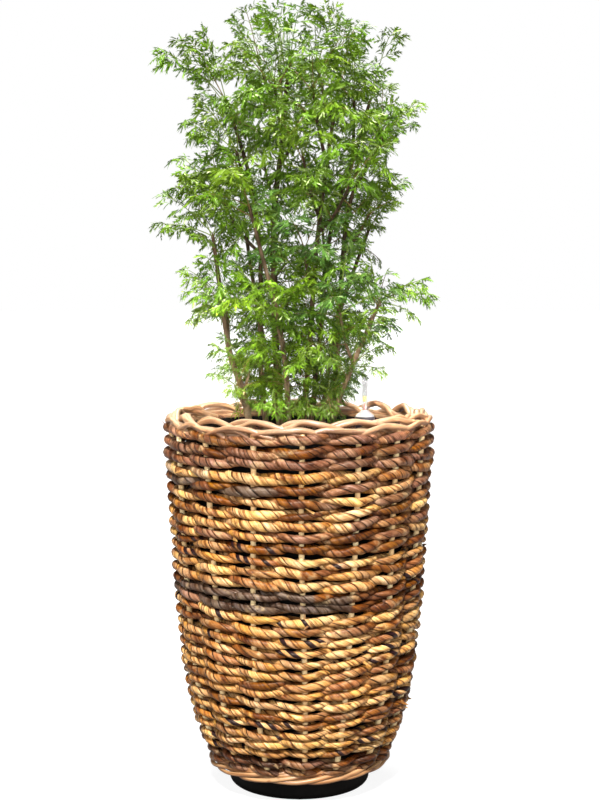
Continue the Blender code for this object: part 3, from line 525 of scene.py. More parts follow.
def bark_material():
    """Grey-brown bark with lengthwise cracks, moss and pale leaf scars, darker higher up the stem."""
    bark = Material("aralia_bark", 0.8, 0.25)
    cracks = bark.noise(bark.scaled(bark.place, (260.0, 260.0, 60.0)), 1.0, 5.0, 0.65)
    patches = bark.noise(bark.place, 30.0)
    scars = bark.noise(bark.scaled(bark.place, (20.0, 20.0, 130.0)), 1.0, 1.0)
    height = bark.add("SeparateXYZ", {0: bark.place})[2]
    colour = bark.ramp(
        cracks, (0.30, (0.075, 0.042, 0.022)), (0.55, (0.26, 0.165, 0.09)), (0.78, (0.45, 0.33, 0.21)))
    colour = bark.mix(bark.span(patches, 0.52, 0.70, 0.0, 0.55), colour, (0.13, 0.125, 0.06))
    colour = bark.mix(bark.span(scars, 0.66, 0.72, 0.0, 0.5), colour, (0.32, 0.23, 0.15))
    bark.set("Base Color", bark.times(bark.span(height, 0.62, 0.86), colour, (0.30, 0.28, 0.26)))
    bark.set("Normal", bark.bump(cracks, 0.7, 0.0012))
    return bark.made


def liner_material():
    """Black moulded plastic with a fine grain and a little dust."""
    liner = Material("black_liner_plastic", 0.45, 0.06)
    grain = liner.noise(liner.place, 900.0, 2.0)
    dust = liner.noise(liner.place, 14.0, 4.0, 0.7)
    liner.set("Base Color", liner.ramp(dust, (0.45, (0.0045, 0.0038, 0.0033)), (0.80, (0.012, 0.010, 0.009))))
    liner.set("Roughness", liner.span(dust, 0.4, 0.75, 0.36, 0.55))
    liner.set("Normal", liner.bump(grain, 0.12, 0.0003))
    return liner.made


def granule_material():
    """Baked clay and bark granules, each with its own brown, full of pores."""
    clay = Material("potting_granules", 0.9, 0.2)
    pores = clay.noise(clay.place, 700.0, 4.0, 0.7)
    clay.set("Base Color", clay.times(0.8, clay.stored("tint", "Color"), clay.ramp(
        pores, (0.35, (0.4, 0.36, 0.33)), (0.6, (1.1, 1.05, 1.0)))))
    clay.set("Normal", clay.bump(pores, 0.6, 0.0009))
    return clay.made


def moulded_material(name, roughness, colour):
    """Coloured moulded plastic, a little cloudy."""
    plastic = Material(name, roughness)
    cloud = plastic.noise(plastic.place, 260.0)
    shade = [0.78 * value for value in colour]
    plastic.set("Base Color", plastic.ramp(cloud, (0.35, shade), (0.65, colour)))
    plastic.set("Normal", plastic.bump(cloud, 0.08, 0.0003))
    return plastic.made


def clear_material():
    """Clear, slightly milky tube plastic."""
    clear = Material("clear_gauge_plastic", 0.12)
    haze = clear.noise(clear.place, 160.0, 2.0)
    clear.set("Base Color", clear.ramp(haze, (0.3, (0.50, 0.50, 0.46)), (0.7, (0.54, 0.54, 0.50))))
    clear.set("Alpha", 0.25)
    return clear.made


def new_object(name, data):
    """An object in the scene."""
    made = bpy.data.objects.new(name, data)
    bpy.context.scene.collection.objects.link(made)
    return made


def mesh_from(name, points, faces, material, slot, uv, **attributes):
    """A smooth piece that rides on the part, from arrays: faces all have the same number of corners."""
    points = np.asarray(points, np.float32)
    faces = np.asarray(faces, np.int32)
    mesh = bpy.data.meshes.new(name)
    mesh.vertices.add(len(points))
    mesh.vertices.foreach_set("co", points.ravel())
    mesh.loops.add(faces.size)
    mesh.loops.foreach_set("vertex_index", faces.ravel())
    mesh.polygons.add(len(faces))
    mesh.polygons.foreach_set("loop_start", np.arange(len(faces), dtype=np.int32) * faces.shape[1])
    layer = mesh.uv_layers.new(name="OFBake")
    layer.uv.foreach_set("vector", np.asarray(uv, np.float32).ravel())
    for key, values in attributes.items():
        values = np.asarray(values, np.float32)
        if values.ndim == 2:
            whole = np.ones((len(values), 4), np.float32)
            whole[:, :3] = values
            mesh.attributes.new(key, "FLOAT_COLOR", "POINT").data.foreach_set("color", whole.ravel())
        else:
            mesh.attributes.new(key, "FLOAT", "POINT").data.foreach_set("value", values)
    mesh.update(calc_edges=True)
    mesh.validate()
    mesh.shade_smooth()
    mesh.materials.append(material)
    made = new_object(name, mesh)
    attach(made, BODY)
    return made


def unit(vectors):
    """Rows scaled to length one."""
    return vectors / np.maximum(np.linalg.norm(vectors, axis=-1, keepdims=True), 1e-12)


def lengths_along(path):
    """The length from the start of a path to each of its points."""
    return np.concatenate([[0.0], np.cumsum(np.linalg.norm(np.diff(path, axis=0), axis=1))])


def ring_quads(count, sides):
    """Quads between the points of count rings."""
    here = np.arange(count - 1)[:, None] * sides
    side = np.arange(sides)
    after = (side + 1) % sides
    return np.stack([here + side, here + after, here + sides + after, here + sides + side], -1).reshape(-1, 4)


def ring_uv(along, sides):
    """The place along the rings and the share around, for each corner of those quads."""
    grid = np.stack(np.broadcast_arrays(along[:, None], np.arange(sides + 1) / sides), -1)
    return np.stack([grid[:-1, :-1], grid[:-1, 1:], grid[1:, 1:], grid[1:, :-1]], 2).reshape(-1, 4, 2)


def tube(path, radii, sides, facing=None):
    """Points, quads, corners' places and lengths of an open tube.

    radii has a number for each point, or one for each point and side. facing is the direction from which the
    sides are counted, with the seam opposite.
    """
    tangent = unit(np.gradient(path, axis=0))
    if facing is None:
        first = np.cross(tangent, (0.31, 0.22, 0.05))
    else:
        first = facing - tangent * (facing * tangent).sum(1, keepdims=True)
    first = unit(first)[:, None]
    second = np.cross(tangent, first[:, 0])[:, None]
    angles = (math.pi + FULL_TURN * np.arange(sides) / sides)[:, None]
    radii = np.broadcast_to(np.asarray(radii, float).reshape(len(path), -1), (len(path), sides))
    points = path[:, None] + radii[..., None] * (np.cos(angles) * first + np.sin(angles) * second)
    along = lengths_along(path)
    return points.reshape(-1, 3), ring_quads(len(path), sides), ring_uv(along, sides), along


class Batch:
    """Tubes gathered into one mesh, each with its own strip of the UV map."""

    def __init__(self):
        self.points = []
        self.quads = []
        self.uv = []
        self.values = {}
        self.total = 0

    def add(self, points, quads, uv, **values):
        self.points.append(points)
        self.quads.append(quads + self.total)
        self.uv.append(uv)
        self.total += len(points)
        for key, value in values.items():
            self.values.setdefault(key, []).append(value)

    def build(self, name, material, slot):
        packed = []
        for strip, uv in enumerate(self.uv):
            along = 0.002 + 0.996 * uv[..., 0] / max(uv[..., 0].max(), 1e-6)
            packed.append(np.stack([along, (strip + 0.04 + 0.92 * uv[..., 1]) / len(self.uv)], -1))
        values = {key: np.concatenate(value) for key, value in self.values.items()}
        return mesh_from(name, np.concatenate(self.points), np.concatenate(self.quads), material, slot,
                         np.concatenate(packed), **values)


def basket_radius(height):
    """Outer radius of the basket over the crests of its ropes."""
    tuck = BASKET_TUCK * np.exp((BASKET_TUCK_BASE - height) / BASKET_TUCK_FALL)
    return BASKET_TOP_RADIUS - BASKET_TAPER * (BASKET_TOP - height) - tuck


def round_places(angle, radius, height):
    """Points at angles round the axis, counted from the viewer's side towards +X."""
    return np.stack(np.broadcast_arrays(radius * np.sin(angle), -radius * np.cos(angle), height), -1)


def wander(chance, angles, waves, size):
    """A smooth closed random curve round the basket."""
    total = np.zeros_like(angles)
    for wave in waves:
        total += chance.normal() * np.cos(wave * angles + chance.uniform(0, FULL_TURN)) / math.sqrt(wave)
    return size * total / math.sqrt(len(waves))


def row_heights():
    """Heights of the rows' middles: the pitch narrows towards the bottom."""
    steps = np.linspace(BOTTOM_PITCH, TOP_PITCH, ROWS)
    heights = np.concatenate([[0.0], np.cumsum(steps[:-1])])
    low = BASKET_BOTTOM + ROPE_RADIUS
    high = BASKET_TOP - ROPE_RADIUS
    return low + (high - low) * heights / heights[-1]


def strand_tints(chance, angles, height):
    """A tint for each point of a strand, which changes where one strip of bark ends and the next begins."""
    tints = next(tints for low, tints in ROW_TINTS if height >= low)
    colours = np.zeros((len(angles), 3))
    start = chance.uniform(0, FULL_TURN)
    at = 0.0
    while at < FULL_TURN:
        length = chance.uniform(*TINT_STRETCH)
        colour = np.array(tints[chance.integers(len(tints))]) * chance.uniform(*TINT_SHADES)
        turned = (angles - start) % FULL_TURN
        colours[(turned >= at) & (turned < at + length)] = colour
        at += length
    return colours


def strand_bands(chance, angles, height):
    """Where a strand carries dark bands: along one stretch of most strands in the lower rows."""
    if not BAND_ROWS[0] < height < BAND_ROWS[1] or chance.uniform() < BANDLESS:
        return np.zeros(len(angles))
    start = chance.uniform(0, FULL_TURN)
    return (((angles - start) % FULL_TURN) < chance.uniform(*BAND_STRETCH)).astype(float)


def strand_path(chance, angles, row, strand, middle, leans):
    """Where a strand is in its swing round the stakes, and its path about the row's middle height."""
    turns = STAKES / 2 * (angles - STAKE_TURN) + wander(chance, angles, (1, 2, 4, 7), TURN_WANDER)
    lean = leans[np.floor(turns / math.pi).astype(int) % STAKES]
    slope = np.interp(row, (0, ROWS - 1), ROPE_SLOPES) * lean
    slope = slope * (1.0 + wander(chance, angles, (3, 5, 9), SLOPE_WANDER))
    phase = turns + math.pi * strand
    dip = np.sin(phase) - ROPE_FLATTEN * np.sin(3 * phase)
    level = middle - slope * dip + wander(chance, angles, (3, 7, 11, 16, 23, 31), LEVEL_WANDER)
    radius = basket_radius(level) - ROPE_RADIUS - ROPE_SWING
    return phase, round_places(angles, radius + ROPE_SWING * np.cos(phase), level)


def strand_wraps(chance, angles, share, turn, length):
    """The number of the wrap at each point of a strand, whole and part, and how it swells there."""
    wraps = round(length / (WRAP_LENGTH * chance.uniform(*WRAP_SIZES)))
    sway = wander(chance, angles, (2, 3, 5, 9, 14), WRAP_WANDER)
    wrap = share[:, None] * wraps + sway[:, None] - WRAP_STARTS * turn
    part = wrap - np.floor(wrap)
    lumps = chance.normal(0.0, WRAP_LUMPS, wraps + WRAP_SPARE)
    lumps = lumps[np.floor(wrap).astype(int) % len(lumps)]
    return wrap, 0.98 + WRAP_SLANT * (part - 0.5) + WRAP_SWELL * np.sin(math.pi * part) + lumps


def make_ropes(material):
    """Rows of two twined strands, each in front of every second stake, one above the other in the gaps."""
    chance = np.random.default_rng(7)
    share = np.arange(ROPE_SEGMENTS + 1) / ROPE_SEGMENTS
    angles = math.pi + FULL_TURN * share
    turn = np.arange(ROPE_SIDES) / ROPE_SIDES
    upright = np.abs(np.sin(FULL_TURN * turn))
    outward = round_places(angles, 1.0, 0.0)
    batches = [Batch() for _ in range(ROPE_PIECES)]
    for row, height in enumerate(row_heights()):
        drift = sum(np.cos(wave * angles + climb * height) for wave, climb in DRIFT_WAVES)
        drift *= ROPE_DRIFT * math.sqrt(math.sin(math.pi * (row + 0.3) / (ROWS - 0.4)))
        middle = height + (drift + wander(chance, angles, (1, 2, 3, 5, 8), ROW_WANDER))
        size = chance.uniform(*ROW_SIZES) * np.interp(row, (0, ROWS - 1), ROPE_SIZES)
        leans = np.repeat(LEANS, STAKES // len(LEANS))
        leans[chance.uniform(size=STAKES) < LEAN_CHANCE] *= -1.0
        for strand in range(2):
            phase, path = strand_path(chance, angles, row, strand, middle, leans)
            thick = size * chance.uniform(*STRAND_SIZES) * ROPE_RADIUS
            uneven = 1.0 + wander(chance, angles, (2, 5, 9, 14), THICK_WANDER) + ROPE_CREST * np.cos(phase)
            length = lengths_along(path)[-1]
            wrap, swell = strand_wraps(chance, angles, share, turn, length)
            squeeze = 1.0 - ROPE_SQUEEZE * (np.sin(phase) ** 2)[:, None] * upright
            radii = (thick * uneven)[:, None] * swell * squeeze
            points, quads, uv, _ = tube(path, radii, ROPE_SIDES, outward)
            batch = batches[min(ROPE_PIECES - 1, row * ROPE_PIECES // ROWS)]
            batch.add(points, quads, uv, tint=np.repeat(strand_tints(chance, angles, height), ROPE_SIDES, 0),
                      wrap=(wrap + WRAPS_APART * (2 * row + strand)).ravel(),
                      band=np.repeat(strand_bands(chance, angles, height), ROPE_SIDES),
                      along=np.repeat(share * length * FIBRE_SCALE, ROPE_SIDES))
    for number, batch in enumerate(batches):
        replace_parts(batch.build(f"rope_rows_{number + 1}", material, "bark_rope"), "basket_weave")


def make_flaps(material):
    """Small loose ends of bark that lift off the ropes and curl outwards to a ragged tip."""
    chance = np.random.default_rng(37)
    batch = Batch()
    heights = row_heights()
    rows = len(FLAP_OUTLINE)
    columns = 3
    here = (np.arange(rows - 1)[:, None] * columns + np.arange(columns - 1)).ravel()
    quads = np.stack([here, here + 1, here + columns + 1, here + columns], -1)
    share = np.repeat(np.linspace(0.0, 1.0, rows), columns)[:, None]
    across = np.tile([-1.0, 0.0, 1.0], rows)[:, None]
    outline = np.repeat(FLAP_OUTLINE, columns)[:, None]
    flat = np.concatenate([share, 0.5 + 0.5 * across], 1)
    for number in range(FLAPS):
        angle = chance.uniform(0, FULL_TURN)
        height = heights[chance.integers(ROWS)] + chance.uniform(-0.002, 0.004)
        length = chance.uniform(0.007, 0.017)
        half = chance.uniform(0.0014, 0.0032)
        lift = chance.uniform(0.25, 0.60)
        turn = chance.uniform(-0.7, 0.7) + math.pi * chance.integers(2)
        out = round_places(angle, 1.0, 0.0)
        way = round_places(angle + math.pi / 2, 1.0, 0.0) * math.cos(turn) + UP * math.sin(turn)
        side = np.cross(out, way)
        start = round_places(angle, basket_radius(height) - 0.0024, height)
        raised = length * lift * share**2 + 0.0012 * share - 0.3 * half * across**2
        points = start + way * length * share + side * half * outline * across + out * raised
        tint = strand_tints(chance, np.array([angle]), height)
        batch.add(points, quads, flat[quads], tint=np.tile(tint, (len(share), 1)), band=np.zeros(len(share)),
                  wrap=(number + 0.5 + 0.15 * across).ravel(), along=(number + share).ravel())
    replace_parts(batch.build("bark_flaps", material, "bark_rope"), "basket_weave")


def make_stakes(material):
    """Sixteen upright rods that the ropes pass in front of and behind."""
    chance = np.random.default_rng(11)
    batch = Batch()
    heights = np.linspace(STAKE_LOW, BASKET_TOP + 0.004, 40)
    turn = np.arange(ROD_SIDES) / ROD_SIDES
    for stake in range(STAKES):
        angle = FULL_TURN * stake / STAKES + STAKE_TURN + 0.02 * np.sin(heights * 9 + chance.uniform(0, 6))
        radius = basket_radius(heights) - ROPE_RADIUS - ROPE_SWING + STAKE_OUTWARD
        radii = STAKE_RADIUS * (1 + 0.05 * np.sin(heights * 130 + chance.uniform(0, 6)))
        points, quads, uv, along = tube(round_places(angle, radius, heights), radii, ROD_SIDES)
        batch.add(points, quads, uv, along=np.repeat(along, ROD_SIDES),
                  wrap=np.tile(turn, len(heights)) + stake, under=np.full(len(points), 0.4))
    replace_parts(batch.build("basket_stakes", material, "rattan"), "basket_weave")


def add_rod(batch, chance, places, radius):
    """A rattan rod along a curve through the places, a little uneven, with blunt closed ends."""
    path = np.array(smooth_path(places, 0.004))
    start = path[0] - 0.0004 * unit(path[1] - path[0])
    end = path[-1] + 0.0004 * unit(path[-1] - path[-2])
    path = np.concatenate([start[None], path, end[None]])
    radii = radius * (1 + 0.07 * np.sin(np.arange(len(path)) * 0.31 + chance.uniform(0, 6)))
    radii[[0, -1]] = 0.0002
    radii[[1, -2]] *= 0.94
    points, quads, uv, along = tube(path, radii, ROD_SIDES, UP[None])
    turn = np.arange(ROD_SIDES) / ROD_SIDES
    # under: 1 on the rod's underside, for painted shade, and 0 on its top, for a painted highlight
    batch.add(points, quads, uv, along=np.repeat(along, ROD_SIDES),
              under=np.tile(0.5 + 0.5 * np.cos(FULL_TURN * turn), len(path)),
              wrap=np.tile(turn, len(path)) + chance.uniform(0, 50))


def add_rings(batch, chance, rings, radius, count):
    """Rods bent once round the basket, with their ends side by side."""
    turns = np.linspace(0.0, FULL_TURN + RING_OVERLAP, count)
    for ring, height in rings:
        add_rod(batch, chance, round_places(turns, ring, height), radius)


def make_rim(material):
    """The border: at each stake two rods bend to the left and a third, inside, to the right; two rings."""
    chance = np.random.default_rng(13)
    batch = Batch()
    for stake in range(STAKES):
        for route, shift in zip(RIM_ROUTES, RIM_SHIFTS):
            places = []
            for steps, radius, height in route:
                angle = (stake + shift - steps) * FULL_TURN / STAKES + STAKE_TURN + chance.normal(0.0, 0.012)
                radius += chance.normal(0.0, ROD_UNEVEN[0])
                places.append(round_places(angle, radius, height + chance.normal(0.0, ROD_UNEVEN[1])))
            add_rod(batch, chance, places, BORDER_ROD * chance.uniform(0.90, 1.10))
    add_rings(batch, chance, RIM_RINGS, BORDER_ROD, 60)
    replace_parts(batch.build("rim_border_rods", material, "rattan"), "basket_rim_border")


def make_base_border(material):
    """The bottom edge: rods that start low and outside and rise to the right behind the next; two rings."""
    chance = np.random.default_rng(17)
    batch = Batch()
    for stake in range(STAKES):
        start = stake + chance.uniform(-0.12, 0.12)
        places = []
        for steps, radius, height in BASE_ROUTE:
            angle = (start + steps) * FULL_TURN / STAKES
            lift = BASE_TILT * math.sin(angle) + chance.normal(0.0, 0.0005)
            places.append(round_places(angle, radius + chance.normal(0.0, 0.0004), height + lift))
        add_rod(batch, chance, places, BASE_ROD * chance.uniform(0.88, 1.12))
    add_rings(batch, chance, BASE_RINGS, BASE_ROD, 48)
    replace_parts(batch.build("base_border_rods", material, "rattan"), "basket_base_border")


def turned(name, profile, sides, material, slot, place=(0.0, 0.0), seam=0.0):
    """A turned piece; the profile starts and ends on the axis or closes. seam raises one upright line."""
    angles = FULL_TURN * np.arange(sides) / sides
    profile = np.array(profile, float)
    ridge = seam * np.exp(-((np.minimum(angles, FULL_TURN - angles) / 0.012) ** 2))
    radii = profile[:, :1] + ridge * (profile[:, :1] > 0.05)
    points = round_places(angles, radii, profile[:, 1:]) + (*place, 0.0)
    along = lengths_along(profile)
    uv = ring_uv(along / along[-1], sides)[..., ::-1]
    made = mesh_from(name, points.reshape(-1, 3), ring_quads(len(profile), sides), material, slot, uv)
    made.data.set_sharp_from_angle(angle=math.radians(35))
    return made


def pot_radius(height):
    """Outer radius of the liner: inside the basket's wall, the same below it, and never under the foot's."""
    inside = basket_radius(max(height, BASKET_BOTTOM)) - BASKET_WALL - POT_GAP
    return max(FOOT_RADIUS, float(inside))


def make_liner(material):
    """The black liner pot, smooth, with a rounded foot, a small lip and one moulding seam."""
    outside = [(0.0, 0.0)]
    for turn in np.linspace(0.0, math.pi / 2, 7):
        radius = FOOT_RADIUS - FOOT_ROUNDING * (1 - math.sin(turn))
        outside.append((radius, FOOT_ROUNDING * (1 - math.cos(turn))))
    foot = len(outside)
    for height in np.linspace(0.030, POT_TOP - 0.0012, 26):
        outside.append((pot_radius(height), height))
    top = outside[-1][0]
    lip = [(top - 0.0006, POT_TOP), (top - POT_WALL + 0.0006, POT_TOP), (top - POT_WALL, POT_TOP - 0.0012)]
    inside = [(radius - POT_WALL, height) for radius, height in reversed(outside[foot:-1])]
    floor = [(inside[-1][0] - FOOT_ROUNDING, POT_FLOOR), (0.0, POT_FLOOR)]
    profile = outside + lip + inside + floor
    made = turned("liner_shell", profile, 128, material, "black_plastic", seam=POT_SEAM)
    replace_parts(made, "liner_pot")


def make_substrate(material):
    """A body of granules whose top is covered by loose ones."""
    rings = [(0.0, 0.012), (0.088, 0.012)]
    for height in np.linspace(0.014, SOIL_TOP - 0.006, 12):
        rings.append((pot_radius(height) - 0.0036, height))
    edge = rings[-1][0]
    rings += [(edge * share, SOIL_TOP - GRANULE_DEPTH) for share in (0.98, 0.75, 0.5, 0.25, 0.0)]
    body = turned("granule_bed", rings, 64, material, "granules")
    body.data.attributes.new("tint", "FLOAT_COLOR", "POINT").data.foreach_set(
        "color", np.tile((0.045, 0.026, 0.016, 1.0), len(body.data.vertices)))
    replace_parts(body, "substrate")
    make_granules(material, edge - 0.004)


def icosahedron():
    """Corners and triangles of an icosahedron with a radius of one."""
    golden = (1 + math.sqrt(5)) / 2
    corners = unit(np.array([
        (-1, golden, 0), (1, golden, 0), (-1, -golden, 0), (1, -golden, 0), (0, -1, golden), (0, 1, golden),
        (0, -1, -golden), (0, 1, -golden), (golden, 0, -1), (golden, 0, 1), (-golden, 0, -1),
        (-golden, 0, 1)]))
    triangles = np.array([
        (0, 11, 5), (0, 5, 1), (0, 1, 7), (0, 7, 10), (0, 10, 11), (1, 5, 9), (5, 11, 4), (11, 10, 2),
        (10, 7, 6), (7, 1, 8), (3, 9, 4), (3, 4, 2), (3, 2, 6), (3, 6, 8), (3, 8, 9), (4, 9, 5), (2, 4, 11),
        (6, 2, 10), (8, 6, 7), (9, 8, 1)])
    return corners, triangles


def make_granules(material, reach):
    """Loose granules of several sizes on top of the substrate, each an uneven icosahedron."""
    chance = np.random.default_rng(19)
    corners, triangles = icosahedron()
    radius = reach * np.sqrt(chance.uniform(0, 1, GRANULES))
    angle = chance.uniform(0, FULL_TURN, GRANULES)
    size = chance.uniform(0.0022, 0.0046, GRANULES)
    height = SOIL_TOP - GRANULE_DEPTH + chance.uniform(-0.001, 0.0035, GRANULES)
    shape = corners * size[:, None, None] * chance.uniform(0.75, 1.2, (GRANULES, len(corners), 1))
    points = (round_places(angle, radius, height)[:, None] + shape * (1.0, 1.0, 0.8)).reshape(-1, 3)
    faces = (triangles + len(corners) * np.arange(GRANULES)[:, None, None]).reshape(-1, 3)
    tint = GRANULE_TINTS[chance.integers(0, len(GRANULE_TINTS), GRANULES)]
    tint = tint * chance.uniform(0.7, 1.3, (GRANULES, 1))
    across = math.ceil(math.sqrt(len(faces)))
    cell = np.stack(np.divmod(np.arange(len(faces)), across)[::-1], -1)[:, None]
    uv = (cell + np.array([(0.1, 0.1), (0.9, 0.1), (0.5, 0.9)])) / across
    grains = mesh_from("loose_granules", points, faces, material, "granules", uv,
                       tint=np.repeat(tint, len(corners), 0))
    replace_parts(grains, "substrate")


def make_gauge(grey, dark, clear, red, yellow):
    """The water gauge: a dark skirt, a flat grey cone, a clear tube, a red pin with a yellow tip."""
    soil = SOIL_TOP - 0.002
    top = 0.6165
    outer = 0.0046
    inner = 0.0036
    parts = (
        ("gauge_skirt", "water_gauge_base", "grey_plastic", dark, 40,
         [(0.0, soil), (0.014, soil), (0.0146, soil + 0.001), (0.015, 0.5556), (0.0146, 0.5568),
          (0.0, 0.5568)]),
        ("gauge_cone", "water_gauge_base", "grey_plastic", grey, 40,
         [(0.0, 0.5566), (0.0136, 0.5566), (0.0142, 0.5572), (0.0138, 0.5582), (0.0064, 0.5646),
          (0.0058, 0.5654), (0.0052, 0.5662), (0.0, 0.5662)]),
        ("gauge_tube", "water_gauge_tube", "clear_plastic", clear, 32,
         [(inner, 0.566), (outer, 0.566), (outer, top - 0.003), (outer * 0.86, top - 0.0011),
          (outer * 0.5, top - 0.0002), (0.0, top), (0.0, top - 0.0011), (inner * 0.8, top - 0.0022),
          (inner, top - 0.004), (inner, 0.566)]),
        ("gauge_float_red", "water_gauge_float", "red_plastic", red, 24,
         [(0.0, 0.5664), (0.002, 0.5664), (0.002, 0.5735), (0.0012, 0.5748), (0.0012, 0.58), (0.0, 0.58)]),
        ("gauge_float_tip", "water_gauge_float", "red_plastic", yellow, 24,
         [(0.0, 0.58), (0.0029, 0.58), (0.0029, 0.5868), (0.0022, 0.5876), (0.0, 0.5876)]),
    )
    for name, node, slot, material, sides, profile in parts:
        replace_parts(turned(name, profile, sides, material, slot, GAUGE_PLACE), node)


def smooth_path(places, spacing):
    """Points along a smooth curve through the places, about the spacing apart (Catmull-Rom)."""
    places = [Vector(place) for place in places]
    padded = [2 * places[0] - places[1], *places, 2 * places[-1] - places[-2]]
    path = [places[0]]
    for i in range(1, len(padded) - 2):
        before, start, end, after = padded[i - 1 : i + 3]
        steps = max(1, round((end - start).length / spacing))
        for step in range(1, steps + 1):
            t = step / steps
            curve = 2 * start + (end - before) * t + (2 * before - 5 * start + 4 * end - after) * t * t
            path.append(0.5 * (curve + (3 * start - before - 3 * end + after) * t * t * t))
    return path


def stem_path(places):
    """The stem's curve: upright in its hole, then through its places."""
    x, y, _ = places[0]
    root = Vector((x, y, SOIL_TOP - ROOT_DEPTH))
    return [root] + smooth_path([Vector((x, y, SOIL_TOP + STEM_UPRIGHT)), *places[1:]], STEM_SPACING)


def point_at_height(path, height):
    """The point of a rising path at that height."""
    for low, high in zip(path, path[1:]):
        if low.z <= height <= high.z:
            return low.lerp(high, (height - low.z) / (high.z - low.z))
    return path[-1]


def branch_path(path, leave_height, end):
    """A side branch: it leaves the stem upwards and bends out to its end."""
    start = point_at_height(path, leave_height)
    end = Vector(end)
    bend = start.lerp(end, 0.5) + Vector((0.0, 0.0, -BRANCH_SAG * (end - start).length))
    return smooth_path([start, bend, end], BRANCH_SPACING)


def inside_crown(tip):
    """A frond's tip, drawn in to the crown's outline."""
    heights, left_sides, right_sides = zip(*CROWN_SIDES)
    left = np.interp(tip.z, heights, left_sides)
    right = np.interp(tip.z, heights, right_sides)
    across = (right if tip.x > 0 else left) - CROWN_MARGIN
    over = max(1.0, math.hypot(tip.x / across, tip.y / (0.5 * (left + right))))
    return Vector((tip.x / over, tip.y / over, min(tip.z, CROWN_TOP)))


def frond_tip(root, flat, reach, rise):
    """A tip at that reach from the root in a level direction, raised by degrees, inside the crown."""
    rise = math.radians(rise)
    return inside_crown(root + reach * (flat * math.cos(rise) + Vector((0.0, 0.0, math.sin(rise)))))


def frond_plan(index, spray, path):
    """The root, tip and roll of each frond of a spray: the outline's own tips, then a golden-angle fan."""
    _, _, end, tips, count, length, _ = spray
    chance = random.Random(100 + index)
    end = Vector(end)
    back = (path[-2] - path[-1]).normalized()
    outward = Vector((end.x, end.y, 0.0)).normalized()
    plan = []
    for k in range(count + EXTRA_FRONDS):
        root = end + back * (FROND_STEP * k)
        if k < len(tips):
            tip = Vector(tips[k])
        else:
            angle = index + k * GOLDEN_ANGLE
            rise = FAN_RISE - FAN_STEP * (k - len(tips)) + chance.uniform(-RISE_CHANCE, RISE_CHANCE)
            flat = Vector((math.cos(angle), math.sin(angle), 0.0))
            flat = (flat + OUTWARD_LEAN * outward).normalized()
            reach = length * (0.80 + 0.25 * flat.dot(outward)) * chance.uniform(0.85, 1.05)
            tip = frond_tip(root, flat, reach, rise)
        plan.append((root, tip, chance.uniform(-MOST_ROLL, MOST_ROLL)))
    return plan


def filler_plan(index, spray, path):
    """A few more fronds on the branch behind its end, which fill the crown between the sprays."""
    chance = random.Random(500 + index)
    plan = []
    for k in range(FILLER_FRONDS):
        spot = (0.42 + 0.16 * k + chance.uniform(-0.05, 0.05)) * (len(path) - 1)
        low = int(spot)
        root = path[low].lerp(path[low + 1], spot - low)
        angle = 2.1 * index + k * GOLDEN_ANGLE
        rise = chance.uniform(-12, 40)
        flat = Vector((math.cos(angle), math.sin(angle), 0.0))
        tip = frond_tip(root, flat, spray[5] * chance.uniform(0.65, 0.95), rise)
        plan.append((root, tip, chance.uniform(-MOST_ROLL, MOST_ROLL)))
    return plan


def rolled(side, face, angle):
    """Two directions at right angles to each other, turned by an angle."""
    return side * math.cos(angle) + face * math.sin(angle), face * math.cos(angle) - side * math.sin(angle)


class Frond:
    """A frond on a straight rib of length 1 along X: points, triangles, and how near a rib each point is."""

    def __init__(self, chance):
        self.chance = chance
        self.points = []
        self.faces = []
        self.ribs = []

    def add_leaflet(self, origin, along, side, face, length, width, lobes):
        """One leaflet cut into pointed lobes that lean forward, folded along its midrib and bent down."""
        chance = self.chance
        first = len(self.points)
        count = len(lobes)
        fold = chance.uniform(0.05, 0.45)
        bend = chance.uniform(0.05, 0.45)
        curl = chance.uniform(-0.16, 0.16)
        roll = chance.uniform(-1.15, 1.15)
        along = unit(along + face * chance.uniform(-0.35, 0.30))
        side, face = rolled(side, face, roll)
        shares = np.linspace(0.0, 0.78, count + 1)

        def put(share, out, rib):
            drop = bend * share * share * length + fold * abs(out)
            swing = out + curl * share * share * length
            self.points.append(origin + along * (share * length) + side * swing - face * drop)
            self.ribs.append(rib)
            return len(self.points) - 1

        for share in shares:
            put(share, 0.0, 1.0)
        tip = put(1.0, 0.0, 0.5)
        for hand in (-1, 1):
            notch = first
            loop = []
            for lobe in range(count):
                low, high = shares[lobe : lobe + 2]
                half = width * lobes[lobe] * chance.uniform(0.70, 1.20)
                point = put(high + chance.uniform(0.20, 0.65) * (high - low), hand * half, 0.0)
                after = put(high, hand * half * 0.20, 0.4)
                loop.append((notch, point, after))
                if lobe > 0:
                    loop.append((first + lobe, notch, after))
                loop.append((first + lobe, after, first + lobe + 1))
                notch = after
            loop.append((first + count, notch, tip))
            self.faces += loop if hand > 0 else [(a, c, b) for a, b, c in loop]

    def add_stalk(self, places, side, half):
        """A flat stalk through the places."""
        first = len(self.points)
        for share, place in enumerate(places):
            width = half * (1.0 - 0.5 * share / len(places))
            self.points += [place - side * width, place + side * width]
            self.ribs += [2.0, 2.0]
        for a in range(first, first + 2 * len(places) - 2, 2):
            self.faces += [(a, a + 1, a + 3), (a, a + 3, a + 2)]


